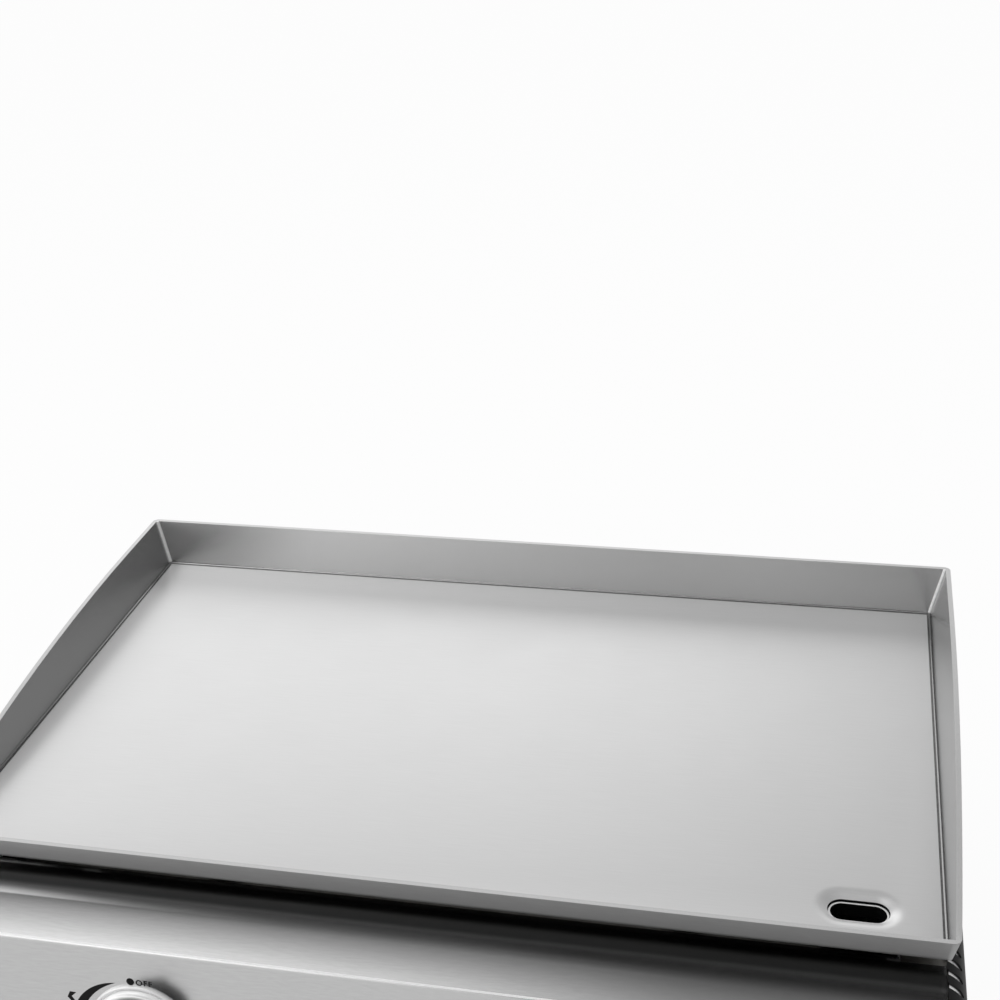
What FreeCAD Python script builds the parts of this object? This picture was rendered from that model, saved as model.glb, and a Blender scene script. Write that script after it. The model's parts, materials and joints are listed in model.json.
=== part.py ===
import FreeCAD, Part
import math
import os

# Portable two-burner gas griddle: a welded stainless pan that lifts off a low body with a rolled control
# panel, black side covers, two H-shaped burners and a slide-out grease cup.
# Millimetres. X runs to the right, Y to the back, Z up from the ground.
# While modelling, Y is 0 near the front lip of the pan. The last section moves the origin to the middle.

# Griddle pan. Its length, its depth and its height above the ground drive the rest of the body.
cook_z = 205.0  # cooking surface above the ground
plate_length = 569.0
plate_depth = 344.5
plate_front_y = 1.5
plate_half = plate_length / 2
plate_back_y = plate_front_y + plate_depth
plate_thick = 3.0
bend_inside = 1.2  # inside radius where the walls turn up
side_lean = 14.4  # degrees that a wall leans out from upright
front_lean = 4.0
back_lean = 8.8
back_height = 33.0  # walls above the cooking surface
front_height = 11.0
level_run = 46.0  # length of the side rim that stays at full height, from the back seam
outer_corner = 4.5
bead_radius = 1.5  # weld beads in the upright back corners
bead_set_in = 0.1  # middle of a bead inside the corner
seam_width = 1.2
seam_height = 0.3

# Grease slot at the front right
slot_from_side = 44.0  # slot centre to the right-hand seam
slot_from_front = 28.2
slot_length = 33.0
slot_width = 16.4
dish_margin = 7.0
dish_depth = 2.5
spout_wall = 1.2
spout_drop = 12.0  # lower end of the spout below the cooking surface

# Parts under the griddle
stiffener_size = 16.0
stiffener_thick = 2.0
stiffener_inset = 49.5  # end of a stiffener to the side seam
stiffener_shares = [0.32, 0.73]  # places across the depth of the plate
foot_radius = 13.0
foot_height = 8.0
foot_pin_radius = 4.0
foot_pin_length = 10.0
foot_inset = 19.0  # foot centre to the firebox side
foot_end_gap = 25.0  # foot centre to the firebox front or back
pin_clearance = 0.5

# Body outline
body_overhang = 11.8  # side covers beyond the side seams of the pan
body_half = plate_half + body_overhang
shoulder_radius = 18.0
crest_gap = 5.8  # top of the body below the cooking surface
crest_y = -14.5
roll_radius = 62.0
roll_front_angle = 34.0  # degrees turned from the crest to the crease
roll_back_angle = 14.0  # degrees turned from the crest to the top flange
crease_radius = 4.0
panel_tilt = 5.0  # degrees that the knob face leans back from upright
face_length = 128.0
back_overhang = 10.0
body_back_y = plate_back_y + back_overhang
cover_bottom = 24.0
body_sheet = 1.2

# Control panel
cover_width = 11.3  # width of a side cover beside the panel
panel_half = body_half - cover_width
panel_joint = 0.3  # gap between panel and side cover
panel_return = 25.0
top_flange = 10.0
top_flange_drop = 30.0  # degrees that the top flange slopes down to the back
bracket_sheet = 1.2
bracket_half = 26.0
bracket_leaf = 20.0
bracket_run = 26.0

# Knobs and valves, measured along the knob axis from the outside of the panel
knob_x = 144.0
knob_down = 53.6  # knob axis below the crease, along the face
knob_radius = 21.8
knob_base = 5.0
knob_body = 20.0  # height of the round part
knob_taper = 1.6
knob_height = 26.0
knob_hollow = 12.0  # recess in the back of the knob
knob_round = 3.0
knob_wall = 2.2
grip_width = 14.0
grip_length = 34.0
bezel_radius = 30.8
bezel_lip = 2.0  # width of the rim round the bezel
bezel_dome = 5.6  # width of its raised ring
bezel_sheet = 1.2
bezel_hole = 8.5
push_travel = 3.0
stem_radius = 3.0
stem_fit = 0.06
stem_shoulder = 4.6
valve_width = 22.0
valve_front = 8.0
valve_back = 44.0
valve_half_height = 12.0
collar_radius = 9.5
collar_front = 4.0
plunger_radius = 6.9
plunger_fit = 0.1
orifice_length = 13.0
piezo_radius = 5.5
piezo_length = 26.0

# Gas train and burners
manifold_radius = 8.0
manifold_wall = 1.5
manifold_back = 26.0  # manifold centre behind the panel face
manifold_past_knob = [86.0, 50.0]  # ends beyond the left and right knob axes
arm_inset = 14.0  # manifold bracket to the manifold's end
arm_thick = 2.0
arm_half = 14.0
arm_front = 6.0  # bracket in front of the manifold
supply_radius = 5.0
supply_bend = 20.0
inlet_radius = 7.94
inlet_length = 16.0
inlet_nut = 22.0  # across the flats
inlet_nut_depth = 6.0
inlet_tail = 18.0  # fitting inside the back panel
inlet_gap = 2.0  # inlet nut to the flange of the side cover
burner_radius = 11.0
burner_wall = 1.0
leg_spread = 62.0  # leg centre from the burner's middle
leg_front_gap = 16.0  # front of the legs to the firebox wall
leg_back_gap = 32.0
mouth_radius = 16.0
mouth_overlap = 5.0
port_pitch = 14.0
port_width = 1.4
port_margin = 23.0
port_half = 6.0

# Firebox and lower body
side_gap = 34.3  # firebox to the outside of the side covers
firebox_half = body_half - side_gap
firebox_front_gap = 46.5  # firebox behind the front edge of the plate
firebox_back_gap = 18.0  # firebox to the back of the body
firebox_front_y = plate_front_y + firebox_front_gap
firebox_back_y = body_back_y - firebox_back_gap
firebox_below = 13.0  # top edge of the firebox below the cooking surface
firebox_height = 104.0
firebox_sheet = 1.0
floor_vent_pitch = [100.0, 65.0]
floor_vent_size = [60.0, 12.0]
firebox_lip = 12.0
hanger_gap = 8.0  # supply tube to the hangers above it
hanger_leaf = 18.0
hanger_sheet = 1.2
hanger_end_gap = [32.0, 18.0]  # hanger ends to the front and the back of the firebox
liner_gap = 2.4  # air gap between side cover and heat shield
liner_sheet = 0.8
liner_hook = 16.0
liner_skirt = 12.0
liner_front_gap = 7.0  # heat shield in front of the first vent slot
liner_back_gap = 20.0
tray_sheet = 1.0
tray_flange = 20.0
tray_hem = 6.0
tray_front_y = -38.0
rubber_radius = 15.0
rubber_inset = 28.3  # foot centre to the outside of the side cover
rubber_end_gap = [20.0, 30.0]  # foot centre to the tray's front edge and to the back of the body
hand_below = 57.0  # hand hole below the cooking surface
hand_length = 96.0
hand_height = 26.0
grip_fit = 0.15
vent_pitch = 9.6
vent_width = 3.8
vent_count = 10
vent_front_y = -13.0
vent_rear_gap = 43.6  # last vent slot to the back of the body
vent_tip = 8.4  # distance of the slot tip past the edge of the panel
back_vent_pitch = 24.0
back_vent_width = 6.0
back_vent_height = 41.0
back_vent_below = 75.0  # lower end of the back vents below the cooking surface

# Grease path below the slot
chute_top = [40.0, 32.0]
chute_low = [30.0, 22.0]
chute_sheet = 0.8
chute_gap = 3.0  # lower end of the chute above the cup
chute_tab = 12.0
chute_leaf = 18.0
cup_size = [71.0, 110.0, 26.0]
cup_front_y = tray_front_y + 2.0
cup_above_tray = 5.0
cup_sheet = 1.0
cup_rim = 4.0
cup_corner = 8.0
pull_half = 24.0
pull_drop = 22.0
pull_set_back = 9.0  # pull plate behind the lower edge of the panel
rail_gap = 0.4
rail_sheet = 1.2
rail_foot = 10.0
screw_radius = 4.6
screw_height = 2.5
past = 5.0  # how far a small cutting shape reaches beyond what it cuts
clear = 60.0  # and a large one
inner_reach = 20.0  # an inner outline runs on below the outer one by this many times its inset


def vec(x, y, z):
    return FreeCAD.Vector(x, y, z)


def box(x0, x1, y0, y1, z0, z1):
    return Part.makeBox(x1 - x0, y1 - y0, z1 - z0, vec(x0, y0, z0))


def rod(start, end, radius):
    return Part.makeCylinder(radius, (end - start).Length, start, end - start)


def pipe(start, end, radius, wall):
    return rod(start, end, radius).cut(rod(start, end, radius - wall))


def outline(points, place):
    """Closed face from points in a plane. A step of two points is an arc through the first to the second."""
    here = place(*points[0])
    first = here
    edges = []
    for step in points[1:]:
        if isinstance(step[0], tuple):
            middle, end = place(*step[0]), place(*step[1])
            edges.append(Part.Arc(here, middle, end).toShape())
        else:
            end = place(*step)
            edges.append(Part.makeLine(here, end))
        here = end
    if (here - first).Length > 1e-6:
        edges.append(Part.makeLine(here, first))
    return Part.Face(Part.Wire(edges))


def side_view(x):
    return lambda y, z: vec(x, y, z)


def front_view(y):
    return lambda x, z: vec(x, y, z)


def obround(x, y, z, length, width):
    r = width / 2
    a = length / 2 - r
    steps = [(x - a, y - r), (x + a, y - r), ((x + a + r, y), (x + a, y + r)), (x - a, y + r),
             ((x - a - r, y), (x - a, y - r))]
    return outline(steps, lambda px, py: vec(px, py, z)).OuterWire


def mirrored(shape):
    return shape.mirror(vec(0, 0, 0), vec(1, 0, 0))


def both_sides(shape):
    return Part.makeCompound([mirrored(shape), shape])


def fillet_where(shape, radius, wanted):
    edges = [e for e in shape.Edges if wanted(e)]
    return shape.makeFillet(radius, edges)


def revolved(profile):
    """Solid turned round the Y axis from (radius, y) steps."""
    return outline(profile, lambda r, y: vec(r, y, 0)).revolve(vec(0, 0, 0), vec(0, 1, 0), 360)


nodes = {}


# Griddle pan. The floor plate is butt welded into a surround that is bent up on all four sides.
def tangent_run(radius, lean):
    return radius * math.tan(math.radians(90 - lean) / 2)


def tan_deg(angle):
    return math.tan(math.radians(angle))


def cos_deg(angle):
    return math.cos(math.radians(angle))


def sin_deg(angle):
    return math.sin(math.radians(angle))


under_z = cook_z - plate_thick
wall_x = plate_half + tangent_run(bend_inside, side_lean)
wall_front_y = plate_front_y - tangent_run(bend_inside, front_lean)
wall_back_y = plate_back_y + tangent_run(bend_inside, back_lean)


def tub(out, low, high):
    """Leaning-sided block whose walls lie out mm beyond the inner faces of the pan."""
    wires = []
    for h in (low, high):
        x = wall_x + out / cos_deg(side_lean) + h * tan_deg(side_lean)
        front = wall_front_y - out / cos_deg(front_lean) - h * tan_deg(front_lean)
        back = wall_back_y + out / cos_deg(back_lean) + h * tan_deg(back_lean)
        corners = [(-x, front), (x, front), (x, back), (-x, back), (-x, front)]
        wires.append(Part.makePolygon([vec(a, b, cook_z + h) for a, b in corners]))
    return Part.makeLoft(wires, True, True)


def is_level(edge, z):
    return all(abs(v.Z - z) < 0.01 for v in edge.Vertexes)


rough_top = back_height + 6
inner_tub = fillet_where(tub(0, 0, rough_top), bend_inside, lambda e: is_level(e, cook_z))
outer_tub = tub(plate_thick, -plate_thick, rough_top)
round_corners = fillet_where(outer_tub, outer_corner, lambda e: abs(e.Vertexes[0].Z - e.Vertexes[1].Z) > 1)
round_bends = fillet_where(outer_tub, bend_inside + plate_thick, lambda e: is_level(e, under_z))
outer_tub = round_corners.common(round_bends)

rim_level_y = plate_back_y - level_run
rim_front_y = wall_front_y
rim_run = rim_level_y - rim_front_y
rim_drop = back_height - front_height
rim_radius = (rim_run ** 2 + rim_drop ** 2) / (2 * rim_drop)
half_turn = math.asin(rim_run / rim_radius) / 2
rim_mid = (rim_level_y - rim_radius * math.sin(half_turn),
           cook_z + back_height - rim_radius * (1 - math.cos(half_turn)))
rim_low = cook_z + front_height
rim_high = cook_z + back_height
above_rim = [(plate_front_y - clear, rim_low), (rim_front_y, rim_low), (rim_mid, (rim_level_y, rim_high)),
             (plate_back_y + clear, rim_high), (plate_back_y + clear, rim_high + clear),
             (plate_front_y - clear, rim_high + clear)]
reach_x = plate_half + clear
rim_cut = outline(above_rim, side_view(-reach_x)).extrude(vec(2 * reach_x, 0, 0))

floor_block = box(-plate_half, plate_half, plate_front_y, plate_back_y, under_z, cook_z)
nodes["griddle_surround"] = outer_tub.cut(inner_tub).cut(rim_cut).cut(floor_block)

slot_x = plate_half - slot_from_side
slot_y = plate_front_y + slot_from_front
slot_ring = 1.0
dish_wires = []
for z, margin in ((cook_z, dish_margin), (cook_z - dish_depth, slot_ring)):
    dish_wires.append(obround(slot_x, slot_y, z, slot_length + 2 * margin, slot_width + 2 * margin))
dish = Part.makeLoft(dish_wires, True, True)
dish_boss = dish.translated(vec(0, 0, -plate_thick))
slot_face = Part.Face(obround(slot_x, slot_y, cook_z - 2 * spout_drop, slot_length, slot_width))
slot_prism = slot_face.extrude(vec(0, 0, 3 * spout_drop))
nodes["griddle_plate"] = floor_block.fuse(dish_boss).cut(dish).cut(slot_prism).removeSplitter()

spout_top = cook_z - dish_depth
spout_low = cook_z - spout_drop
spout_outer = Part.Face(obround(slot_x, slot_y, spout_low, slot_length, slot_width))
spout_inner = Part.Face(obround(slot_x, slot_y, spout_low, slot_length - 2 * spout_wall,
                                slot_width - 2 * spout_wall))
nodes["grease_spout"] = spout_outer.cut(spout_inner).extrude(vec(0, 0, spout_top - spout_low))

# Low weld seam along the edge of the plate, all round the floor, and a bead in each upright back corner.
seam_top = cook_z + seam_height
seam_outside = box(-plate_half, plate_half, plate_front_y, plate_back_y, cook_z, seam_top)
seam_inside = box(-plate_half + seam_width, plate_half - seam_width, plate_front_y + seam_width,
                  plate_back_y - seam_width, cook_z, seam_top)
nodes["floor_seam_weld"] = seam_outside.cut(seam_inside)


def inner_corner(height):
    return vec(wall_x + height * tan_deg(side_lean) - bead_set_in,
               wall_back_y + height * tan_deg(back_lean) - bead_set_in, cook_z + height)


bead_low = inner_corner(bend_inside)
bead_high = inner_corner(back_height - bead_radius / 2)
bead = rod(bead_low, bead_high, bead_radius).fuse(Part.makeSphere(bead_radius, bead_high))
bead = bead.fuse(Part.makeSphere(bead_radius, bead_low)).common(inner_tub)
nodes["corner_welds"] = both_sides(bead.common(box(0, reach_x, 0, plate_back_y + clear, cook_z, rim_high)))

# Angle stiffeners and locating feet, welded under the plate.
bars = []
bar_half = plate_half - stiffener_inset
for share in stiffener_shares:
    y = plate_front_y + share * plate_depth
    web = box(-bar_half, bar_half, y, y + stiffener_thick, under_z - stiffener_size, under_z)
    flange = box(-bar_half, bar_half, y, y + stiffener_size, under_z - stiffener_thick, under_z)
    bars.append(web.fuse(flange).removeSplitter())
nodes["griddle_stiffeners"] = Part.makeCompound(bars)

rest_z = under_z - foot_height
foot_x = firebox_half - foot_inset
foot_y = [firebox_front_y + foot_end_gap, firebox_back_y - foot_end_gap]
pin_chamfer = 1.5
griddle_feet = []
for y in foot_y:
    disc = rod(vec(foot_x, y, rest_z), vec(foot_x, y, under_z), foot_radius)
    pin = rod(vec(foot_x, y, rest_z - foot_pin_length), vec(foot_x, y, rest_z), foot_pin_radius)
    pin_end = rest_z - foot_pin_length
    pin = fillet_where(pin, pin_chamfer, lambda e: is_level(e, pin_end) and len(e.Vertexes) == 1)
    griddle_feet.append(disc.fuse(pin))
nodes["griddle_feet"] = both_sides(Part.makeCompound(griddle_feet))

# Body skin. Three prisms give the outline: the side view, the front view with round shoulders, and the plan
# with round front corners that follow the slope of the knob face. The inner set is one sheet smaller.
crest_z = cook_z - crest_gap
crease_y = crest_y - roll_radius * sin_deg(roll_front_angle)
crease_z = crest_z - roll_radius * (1 - cos_deg(roll_front_angle))
face_dir = vec(0, -sin_deg(panel_tilt), -cos_deg(panel_tilt))
face_foot = vec(0, crease_y, crease_z) + face_dir * face_length
roll_top_y = crest_y + roll_radius * sin_deg(roll_back_angle)
roll_top_z = crest_z - roll_radius * (1 - cos_deg(roll_back_angle))
body_reach = body_half + clear


def roll_point(angle, radius):
    """Point of the front roll, with the angle counted from the crest towards the front."""
    return (crest_y - radius * sin_deg(angle), crest_z - roll_radius + radius * cos_deg(angle))


def body_hull(inset, flat_top):
    """Solid inside the body skin. With flat_top the crest runs level to the back, as on the side covers."""
    r = roll_radius - inset
    bend_half = (90 - panel_tilt - roll_front_angle) / 2
    crease_angle = roll_front_angle - math.degrees(tan_deg(bend_half) * inset / r)
    crease = roll_point(crease_angle, r)
    toe_z = cover_bottom - inner_reach * inset
    toe = (crease[0] - (crease[1] - toe_z) * tan_deg(panel_tilt), toe_z)
    back = body_back_y - inset
    steps = [(back, toe_z), toe, crease]
    if flat_top:
        steps += [(roll_point(crease_angle / 2, r), (crest_y, crest_z - inset)), (back, crest_z - inset)]
    else:
        top = roll_point(-roll_back_angle, r)
        steps += [(roll_point(0, r), top), (back, top[1])]
    side = outline(steps, side_view(-body_reach)).extrude(vec(2 * body_reach, 0, 0))
    side = fillet_where(side, crease_radius - inset,
                        lambda e: all(abs(v.Y - crease[0]) < 0.01 and abs(v.Z - crease[1]) < 0.01
                                      for v in e.Vertexes))
    round_r = shoulder_radius - inset
    x = body_half - inset
    top = crest_z - inset
    arc = (x - round_r + round_r * sin_deg(45), top - round_r + round_r * cos_deg(45))
    left_arc = (-arc[0], arc[1])
    front = outline([(-x, toe_z - past), (x, toe_z - past), (x, top - round_r), (arc, (x - round_r, top)),
                     (round_r - x, top), (left_arc, (-x, top - round_r))], front_view(-body_reach))
    front = front.extrude(vec(0, 3 * body_reach, 0))
    y = crease[0]
    nose = (x - round_r + round_r * sin_deg(45), y + round_r - round_r * cos_deg(45))
    start = vec(0, y, crease[1]) - face_dir * clear
    far = y + 2 * body_reach
    plan = outline([(-x, far), (-x, y + round_r), ((-nose[0], nose[1]), (round_r - x, y)),
                    (x - round_r, y), (nose, (x, y + round_r)), (x, far)],
                   lambda a, b: vec(a, b - y + start.y, start.z))
    plan = plan.extrude(face_dir * 2 * cook_z)
    return side.common(front).common(plan)


panel_skin = body_hull(0, False).cut(body_hull(body_sheet, False))
cover_skin = body_hull(0, True).cut(body_hull(body_sheet, True))

# Knob axis. Pieces on it are modelled along Y from the outside of the panel and then placed.
knob_centre = vec(0, crease_y, crease_z) + face_dir * knob_down


def at_knob(shape, x):
    placed = shape.copy()
    placed.rotate(vec(0, 0, 0), vec(1, 0, 0), -panel_tilt)
    placed.translate(knob_centre + vec(x, 0, 0))
    return placed


def knob_point(x, y, z):
    turn = FreeCAD.Rotation(vec(1, 0, 0), -panel_tilt)
    return turn.multVec(vec(x, y, z)) + knob_centre


knob_sides = [-knob_x, knob_x]
side_names = ["left", "right"]

# Control panel: brushed sheet with the roll, crease, knob face, bottom return and top flange.
panel_low = face_foot.z
panel = panel_skin.common(box(-panel_half, panel_half, -body_reach, roll_top_y, panel_low, cook_z))
return_flange = box(-panel_half, panel_half, face_foot.y + body_sheet / 2, face_foot.y + panel_return,
                    panel_low, panel_low + body_sheet)
flange_run = top_flange * cos_deg(top_flange_drop)
flange_fall = top_flange * sin_deg(top_flange_drop)
flange_top = [(roll_top_y, roll_top_z), (roll_top_y + flange_run, roll_top_z - flange_fall)]
flange_under = [(y - body_sheet * sin_deg(top_flange_drop), z - body_sheet * cos_deg(top_flange_drop))
                for y, z in reversed(flange_top)]
flange = outline(flange_top + flange_under, side_view(-firebox_half)).extrude(vec(2 * firebox_half, 0, 0))
panel = panel.fuse([return_flange, flange]).removeSplitter()
for x in knob_sides:
    panel = panel.cut(at_knob(rod(vec(0, -past, 0), vec(0, past, 0), bezel_hole), x))
nodes["control_panel"] = panel

# Side covers: black sheet with a round shoulder, vent slots across it and a hand hole.
cover_edge = panel_half + panel_joint
hand_y = (crest_y + body_back_y) / 2
hand_z = cook_z - hand_below
cover = cover_skin.common(box(cover_edge, body_reach, -body_reach, body_back_y + past, cover_bottom, cook_z))
vent_cuts = []
for first_y in (vent_front_y, body_back_y - vent_rear_gap - (vent_count - 1) * vent_pitch):
    for n in range(vent_count):
        y = first_y + n * vent_pitch
        tip = cover_edge + vent_tip
        r = vent_width / 2
        slot = outline([(cover_edge - past, y - r), (tip - r, y - r), ((tip, y), (tip - r, y + r)),
                        (cover_edge - past, y + r)], lambda a, b: vec(a, b, crest_z - shoulder_radius))
        vent_cuts.append(slot.extrude(vec(0, 0, 2 * shoulder_radius)))
hand_face = Part.Face(obround(0, 0, 0, hand_length, hand_height))


def on_side(shape, x):
    """Turns a shape drawn in plan so that its X runs along Y and its Y runs up, at the hand hole."""
    placed = shape.copy()
    placed.rotate(vec(0, 0, 0), vec(0, 0, 1), 90)
    placed.rotate(vec(0, 0, 0), vec(0, 1, 0), 90)
    placed.translate(vec(x, hand_y, hand_z))
    return placed


hand_cut = on_side(hand_face, body_half - clear).extrude(vec(2 * clear, 0, 0))
cover = cover.cut(Part.makeCompound(vent_cuts)).cut(hand_cut)
nodes["right_side_cover"] = cover
nodes["left_side_cover"] = mirrored(cover)

grip_lip = 7.0
grip_thick = 2.0
grip_wall = 2.0
grip_depth = 14.0
lip_face = Part.Face(obround(0, 0, 0, hand_length + 2 * grip_lip, hand_height + 2 * grip_lip))
bore_face = Part.Face(obround(0, 0, 0, hand_length - 2 * grip_wall, hand_height - 2 * grip_wall))
lip = on_side(lip_face, body_half).extrude(vec(grip_thick, 0, 0))
sleeve_face = Part.Face(obround(0, 0, 0, hand_length - 2 * grip_fit, hand_height - 2 * grip_fit))
sleeve = on_side(sleeve_face, body_half - grip_depth).extrude(vec(grip_depth, 0, 0))
bore = on_side(bore_face, body_half - clear).extrude(vec(2 * clear, 0, 0))
lip_face_x = body_half + grip_thick
lip = fillet_where(lip, grip_thick * 0.6, lambda e: all(abs(v.X - lip_face_x) < 0.01 for v in e.Vertexes))
nodes["hand_grips"] = both_sides(lip.fuse(sleeve).cut(bore))

# Heat shields below the vented shoulders. They hook over the top edge of the firebox.
liner_radius = shoulder_radius - body_sheet - liner_gap
liner_x = body_half - body_sheet - liner_gap
liner_top = crest_z - body_sheet - liner_gap
liner_low = liner_top - liner_radius - liner_skirt
liner_y = [vent_front_y - liner_front_gap, body_back_y - liner_back_gap]


def liner_outline(inset):
    r = liner_radius - inset
    centre = (liner_x - liner_radius, liner_top - liner_radius)
    mid = (centre[0] + r * sin_deg(45), centre[1] + r * cos_deg(45))
    hook_x = firebox_half + inset
    return outline([(hook_x, liner_top - liner_hook - inner_reach * inset), (hook_x, liner_top - inset),
                    (centre[0], liner_top - inset), (mid, (centre[0] + r, centre[1])),
                    (centre[0] + r, liner_low - inner_reach * inset)], front_view(liner_y[0]))


shield = liner_outline(0).cut(liner_outline(liner_sheet)).extrude(vec(0, liner_y[1] - liner_y[0], 0))
nodes["side_heat_shields"] = both_sides(shield)

# Z-shaped brackets that join the control panel to the side covers.
bracket_x = body_half - shoulder_radius - 1.0
bracket_y = body_sheet + 0.05
panel_bracket = Part.makeCompound([
    box(bracket_x - bracket_leaf, bracket_x, bracket_y, bracket_y + bracket_sheet,
        -bracket_half, bracket_half),
    box(bracket_x - bracket_sheet, bracket_x, bracket_y, bracket_run, -bracket_half, bracket_half),
    box(bracket_x - bracket_sheet, body_half - body_sheet, bracket_run - bracket_sheet, bracket_run,
        -bracket_half, bracket_half),
    box(body_half - body_sheet - bracket_sheet, body_half - body_sheet, bracket_run - bracket_sheet,
        bracket_run + bracket_leaf, -bracket_half, bracket_half)])
panel_bracket = panel_bracket.Solids[0].fuse(panel_bracket.Solids[1:]).removeSplitter()
nodes["panel_brackets"] = both_sides(at_knob(panel_bracket, 0))

# Firebox: sheets spot welded to an open box, with vents in the floor, and holes in the front for the
# burner tubes and electrodes.
orifice_tip = knob_point(0, valve_back + orifice_length, 0)
burner_z = orifice_tip.z
firebox_top = cook_z - firebox_below
firebox_bottom = firebox_top - firebox_height
firebox_mid_y = (firebox_front_y + firebox_back_y) / 2
tube_clearance = 0.3
electrode_side = 40.0
electrode_up = 6.0
electrode_radius = 3.5
inner_wall = firebox_half - firebox_sheet
floor_top = firebox_bottom + firebox_sheet
floor = box(-firebox_half, firebox_half, firebox_front_y, firebox_back_y, firebox_bottom, floor_top)
front = box(-firebox_half, firebox_half, firebox_front_y, firebox_front_y + firebox_sheet,
            floor_top, firebox_top)
front = front.fuse(box(-firebox_half, firebox_half, firebox_front_y, firebox_front_y + firebox_lip, floor_top,
                       floor_top + firebox_sheet)).removeSplitter()
nodes["firebox_back"] = front.mirror(vec(0, firebox_mid_y, 0), vec(0, 1, 0))
end = box(inner_wall, firebox_half, firebox_front_y + firebox_sheet, firebox_back_y - firebox_sheet,
          floor_top + firebox_sheet, firebox_top)
nodes["firebox_ends"] = both_sides(end)
floor_vents = []
columns = int(2 * firebox_half / floor_vent_pitch[0])
for column in range(columns):
    x = (column - (columns - 1) / 2) * floor_vent_pitch[0]
    for row in (-1, 0, 1):
        y = firebox_mid_y + row * floor_vent_pitch[1]
        vent_face = Part.Face(obround(x, y, firebox_bottom - past, *floor_vent_size))
        floor_vents.append(vent_face.extrude(vec(0, 0, 2 * past)))
nodes["firebox_floor"] = floor.cut(Part.makeCompound(floor_vents))
wall_from = firebox_front_y - past
wall_to = firebox_front_y + past
for x in knob_sides:
    front = front.cut(rod(vec(x, wall_from, burner_z), vec(x, wall_to, burner_z),
                          burner_radius + tube_clearance))
    side_hole = vec(x + electrode_side, wall_from, burner_z + electrode_up)
    front = front.cut(rod(side_hole, side_hole + vec(0, 2 * past, 0), electrode_radius + tube_clearance))
nodes["firebox_front"] = front

# Rests that carry the griddle feet, spot welded inside the firebox walls.
rest_thick = 2.0
rest_size = 34.0
rest_drop = 26.0
rests = []
for y in foot_y:
    near, far = y - rest_size / 2, y + rest_size / 2
    shelf = box(inner_wall - rest_size, inner_wall, near, far, rest_z - rest_thick, rest_z)
    leaf = box(inner_wall - rest_thick, inner_wall, near, far, rest_z - rest_drop, rest_z)
    hole = rod(vec(foot_x, y, rest_z - past), vec(foot_x, y, rest_z + past), foot_pin_radius + pin_clearance)
    rests.append(shelf.fuse(leaf).removeSplitter().cut(hole))
nodes["griddle_rests"] = both_sides(Part.makeCompound(rests))

# Hangers that carry the firebox between the side covers.
manifold_centre = knob_point(0, manifold_back, -valve_half_height - manifold_radius)
hanger_z = manifold_centre.z + supply_radius + hanger_gap
hanger_y = [firebox_front_y + hanger_end_gap[0], firebox_back_y - hanger_end_gap[1]]
cover_inside = body_half - body_sheet
hanger = Part.makeCompound([
    box(firebox_half, firebox_half + hanger_sheet, hanger_y[0], hanger_y[1],
        hanger_z, hanger_z + hanger_leaf),
    box(firebox_half, cover_inside, hanger_y[0], hanger_y[1], hanger_z, hanger_z + hanger_sheet),
    box(cover_inside - hanger_sheet, cover_inside, hanger_y[0], hanger_y[1], hanger_z - hanger_leaf,
        hanger_z + hanger_sheet)])
hanger = hanger.Solids[0].fuse(hanger.Solids[1:]).removeSplitter()
nodes["firebox_hangers"] = both_sides(hanger)

# Bottom tray, open below the firebox, with turned-up edges.
tray_top = cover_bottom + tray_sheet
tray_back_y = body_back_y - body_sheet
tray = box(-cover_inside, cover_inside, tray_front_y, tray_back_y, cover_bottom, cover_bottom + tray_flange)
tray = tray.cut(box(-cover_inside + tray_sheet, cover_inside - tray_sheet, tray_front_y + tray_sheet,
                    tray_back_y - tray_sheet, tray_top, cover_bottom + tray_flange + past))
tray = tray.cut(box(-cover_inside + tray_sheet, cover_inside - tray_sheet, tray_front_y - past,
                    tray_front_y + past, cover_bottom + tray_hem, cover_bottom + tray_flange + past))
nodes["bottom_tray"] = tray

# Back panel between the covers, with vent slots and a hole for the gas inlet.
back_sheet = 1.0
back_room = [2.0, 8.0]  # gaps under the panel, to the tray, and over it, to the crest
back_low = cover_bottom + tray_flange + back_room[0]
back_high = crest_z - back_room[1]
back_flange = 12.0
back_y = tray_back_y - back_sheet
shoulder_room = body_hull(body_sheet + panel_joint, True).translated(vec(0, panel_joint, 0))
back = box(-cover_inside, cover_inside, back_y, tray_back_y, back_low, back_high).common(shoulder_room)
back = back.fuse([box(-firebox_half, firebox_half, back_y - back_flange, back_y + back_sheet / 2, z,
                      z + back_sheet) for z in (back_low, back_high - back_sheet)])
back_vents = []
back_vent_count = int(2 * firebox_half / back_vent_pitch) - 2
half = back_vent_width / 2
low = cook_z - back_vent_below + half
high = low + back_vent_height - back_vent_width
for n in range(back_vent_count):
    x = (n - (back_vent_count - 1) / 2) * back_vent_pitch
    upright = outline([(x + half, low), (x + half, high), ((x, high + half), (x - half, high)),
                       (x - half, low), ((x, low - half), (x + half, low))], front_view(back_y - past))
    back_vents.append(upright.extrude(vec(0, 4 * past, 0)))
supply_x = inlet_nut / 2 / cos_deg(30) + inlet_gap - panel_half
inlet_hole = rod(vec(supply_x, back_y - past, manifold_centre.z),
                 vec(supply_x, back_y + past, manifold_centre.z), inlet_radius + tube_clearance)
nodes["back_panel"] = back.removeSplitter().cut(Part.makeCompound(back_vents)).cut(inlet_hole)

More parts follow.
